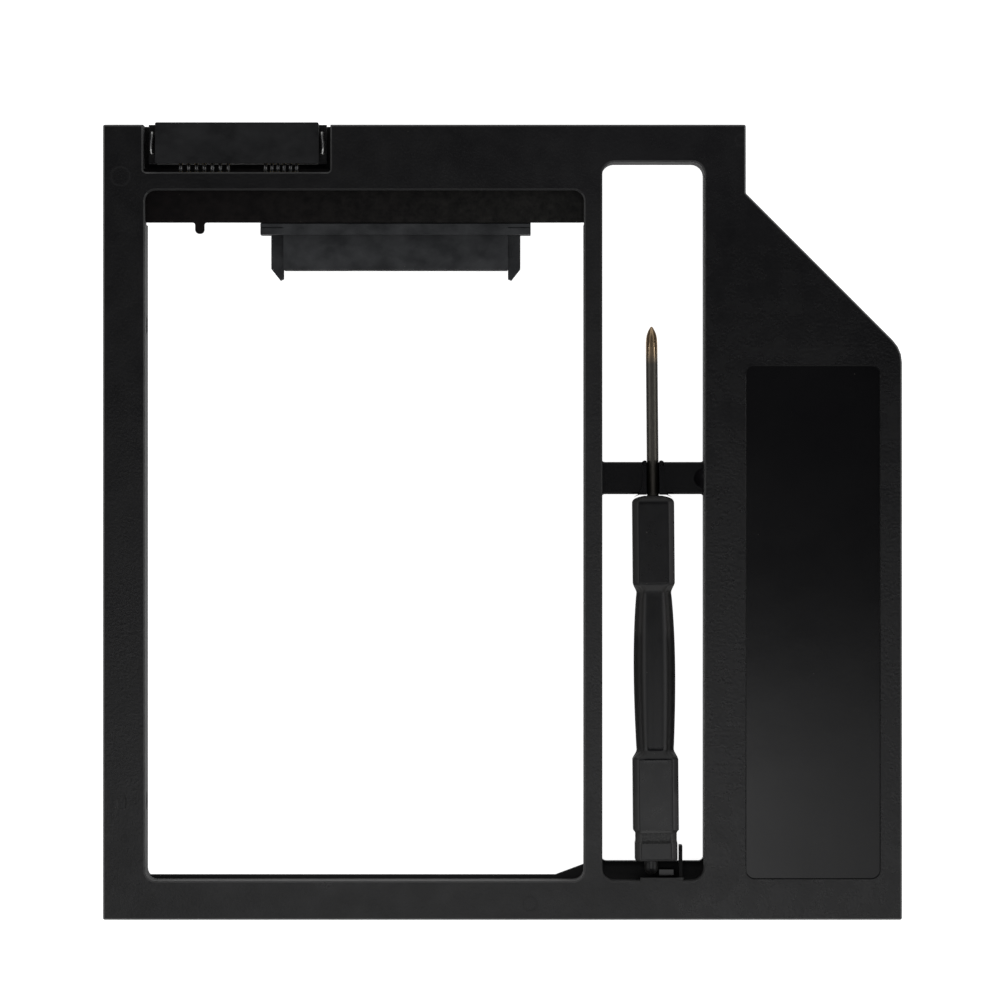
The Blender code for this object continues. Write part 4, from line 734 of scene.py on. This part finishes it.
# Plug clips: sideways kink, its waves, the crown's fall, and the fold as shares of the half width
CLIP_STEPS, CLIP_KINK, CLIP_WAVES, CLIP_FALL = 14, 0.10, 1.6, 0.25
CLIP_FOOT = 0.95
CLIP_FOLD = ((1.0, 1.0), (0.72, 0.45), (0.30, 0.08), (-0.30, 0.08), (-0.72, 0.45), (-1.0, 1.0))


def host_solder():
    """Solder heaped over the tails of the host plug's contacts, behind its body."""
    shapes = []
    rng = random.Random(7)
    for number in range(1, HOST_CONTACTS + 1):
        low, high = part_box(f"host_contact_{number:02d}")
        y, *size = [(least + extra * rng.random()) * MM
                    for least, extra in (HOST_SETBACK, *HOST_MOUND)]
        shapes.append(mound(((low.x + high.x) / 2, low.y + y, low.z), size, 7, 18))
    points, faces = merged(shapes)
    mesh_piece("host_plug_solder", points, faces, "solder", "caddy")


def drive_solder():
    """Solder over the feet of the drive socket's contacts and tabs, under the board."""
    shapes = []
    for number in range(1, DRIVE_CONTACTS + 1):
        low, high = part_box(f"drive_contact_{number:02d}")
        shapes.append(hanging_mound((low.x + high.x) / 2, high.y - CONTACT_SETBACK * MM,
                                    [size * MM for size in CONTACT_MOUND]))
    for side in ("left", "right"):
        low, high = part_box(f"drive_socket_tab_{side}")
        size = ((high.x - low.x) * TAB_MOUND_SHARE, TAB_MOUND_LENGTH * MM, TAB_MOUND_HEIGHT * MM)
        shapes.append(hanging_mound((low.x + high.x) / 2, high.y - TAB_SETBACK * MM, size, 6, 20))
    points, faces = merged(shapes)
    mesh_piece("drive_socket_solder", points, faces, "solder", "caddy")


def board_ends():
    """The board's two ends, which reach to the frame's side walls."""
    reach, overlap, skin = END_REACH * MM, END_OVERLAP * MM, END_SKIN * MM
    spans = ((BOARD_LOW.x - reach, BOARD_LOW.x + overlap),
             (BOARD_HIGH.x - overlap, BOARD_HIGH.x + reach))
    points, faces = merged([slab(x0, x1, BOARD_HIGH.y - END_LENGTH * MM,
                                 BOARD_HIGH.y - END_REAR * MM, BOARD_LOW.z + skin,
                                 BOARD_HIGH.z - skin) for x0, x1 in spans])
    mesh_piece("board_ends", points, faces, "board_mask", "caddy")


def chip_ends():
    """Tinned end caps on the two capacitors and the resistor."""
    shapes = []
    skin = CAP_SKIN * MM
    for name in ("board_capacitor_left", "board_capacitor_right", "board_resistor"):
        low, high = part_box(name)
        reach = CAP_SHARE * (high.x - low.x)
        for x0, x1 in ((low.x - skin, low.x + reach), (high.x - reach, high.x + skin)):
            shapes.append(slab(x0, x1, low.y - skin, high.y + skin, low.z - skin, high.z))
    points, faces = merged(shapes)
    mesh_piece("chip_end_caps", points, faces, "tinned_metal", "caddy")


def plug_clips():
    """The sheet clips on the plug's ears, each folded to a ridge with a small kink."""
    for side, sign in (("left", -1), ("right", 1)):
        low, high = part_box(f"host_plug_clip_{side}")
        middle = (low.x + high.x) / 2
        half = (high.x - low.x) / 2
        rings = []
        for i in range(CLIP_STEPS + 1):
            share = i / CLIP_STEPS
            y = low.y + (high.y - low.y) * share
            shift = sign * CLIP_KINK * MM * math.sin(math.pi * CLIP_WAVES * share)
            crown = high.z - CLIP_FALL * MM * (2 * share - 1) ** 4
            outline = [(-CLIP_FOOT, low.z), (CLIP_FOOT, low.z)]
            outline += [(x, crown - drop * half) for x, drop in CLIP_FOLD]
            rings.append([Vector((middle + shift + half * x, y, z))
                          for x, z in reversed(outline)])
        points, faces = loft(rings)
        mesh_piece(f"plug_clip_{side}", points, faces, "tinned_metal", "caddy",
                   f"host_plug_clip_{side}")


screwdriver_handle()
screwdriver_blade()
host_solder()
drive_solder()
board_ends()
chip_ends()
plug_clips()


# Floor, lights and camera, in metres

FLOOR_SIZE, FLOOR_DEPTH, FLOOR_GLOW = 8.0, 0.2 * MM, 0.95

# Name, place, aim, size and power in watts
SOFTBOXES = (
    ("overhead", (-0.030, -0.109, 0.50), (-0.030, -0.109, 0.0), (0.20, 0.13), 0.102),
    ("overhead_right", (0.138, -0.109, 0.50), (0.138, -0.109, 0.0), (0.136, 0.13), 0.045),
    ("left", (-1.2, 0.15, 0.65), (0.0, 0.0, 0.0), (0.25, 0.20), 1.8),
    ("right", (1.2, 0.05, 0.65), (0.0, 0.0, 0.0), (0.25, 0.20), 1.8),
    ("front", (0.0, -1.25, 0.70), (0.0, 0.0, 0.0), (0.7, 0.5), 1.8),
)

# Height in the sky, from 0 at the horizon to 1 overhead, and its colour
SKY_LOW = (0.05, (0.92, 0.92, 0.92))
SKY_MIDDLE = (0.65, (0.62, 0.62, 0.62))
SKY_HIGH = (0.90, (0.068, 0.068, 0.074))

# The lens in millimetres, and the camera's place
SENSOR, LENS = 36.0, 231.5
CAMERA_PLACE = (-0.40 * MM, 3.36 * MM, FACE + 1.03)


def stage_floor():
    """A pale, softly glowing table under the part."""
    bpy.ops.mesh.primitive_plane_add(size=FLOOR_SIZE, location=(0.0, 0.0, -FLOOR_DEPTH))
    floor = bpy.context.object
    floor.name = "floor"
    made = Shader("floor", (0.86, 0.86, 0.86), 0.6)
    made.finish(made.mix(made.noise(0.25, 2.0), (0.84, 0.84, 0.84), (0.88, 0.88, 0.88)))
    made.surface.inputs["Emission Color"].default_value = (1.0, 1.0, 1.0, 1.0)
    made.surface.inputs["Emission Strength"].default_value = FLOOR_GLOW
    floor.data.materials.append(made.material)


def soft_light(name, place, aim, size, power):
    """A rectangular softbox that faces a point."""
    lamp = bpy.data.lights.new(name, "AREA")
    lamp.shape = "RECTANGLE"
    lamp.size, lamp.size_y = size
    lamp.energy = power
    item = bpy.data.objects.new(name, lamp)
    item.location = place
    item.rotation_euler = (Vector(aim) - Vector(place)).to_track_quat("-Z", "Y").to_euler()
    item.visible_camera = False
    bpy.context.scene.collection.objects.link(item)


def studio_world():
    """A sky that is pale at the horizon and dark overhead, like a room with side walls."""
    world = bpy.data.worlds.new("studio")
    world.use_nodes = True
    tree = world.node_tree
    place = tree.nodes.new("ShaderNodeTexCoord")
    split = tree.nodes.new("ShaderNodeSeparateXYZ")
    ramp = tree.nodes.new("ShaderNodeValToRGB")
    for stop, (height, colour) in zip(ramp.color_ramp.elements, (SKY_LOW, SKY_HIGH)):
        stop.position = height
        stop.color = (*colour, 1.0)
    middle = ramp.color_ramp.elements.new(SKY_MIDDLE[0])
    middle.color = (*SKY_MIDDLE[1], 1.0)
    tree.links.new(place.outputs["Generated"], split.inputs[0])
    tree.links.new(split.outputs["Z"], ramp.inputs[0])
    tree.links.new(ramp.outputs[0], tree.nodes["Background"].inputs["Color"])
    bpy.context.scene.world = world


def studio_camera():
    """Straight down, far enough for the photograph's slight perspective."""
    data = bpy.data.cameras.new("camera")
    data.sensor_width = SENSOR
    data.lens = LENS
    data.clip_start, data.clip_end = 0.01, 20.0
    item = bpy.data.objects.new("camera", data)
    item.location = CAMERA_PLACE
    bpy.context.scene.collection.objects.link(item)
    bpy.context.scene.camera = item


stage_floor()
for softbox in SOFTBOXES:
    soft_light(*softbox)
studio_world()
studio_camera()
bpy.context.scene.view_settings.view_transform = "Standard"
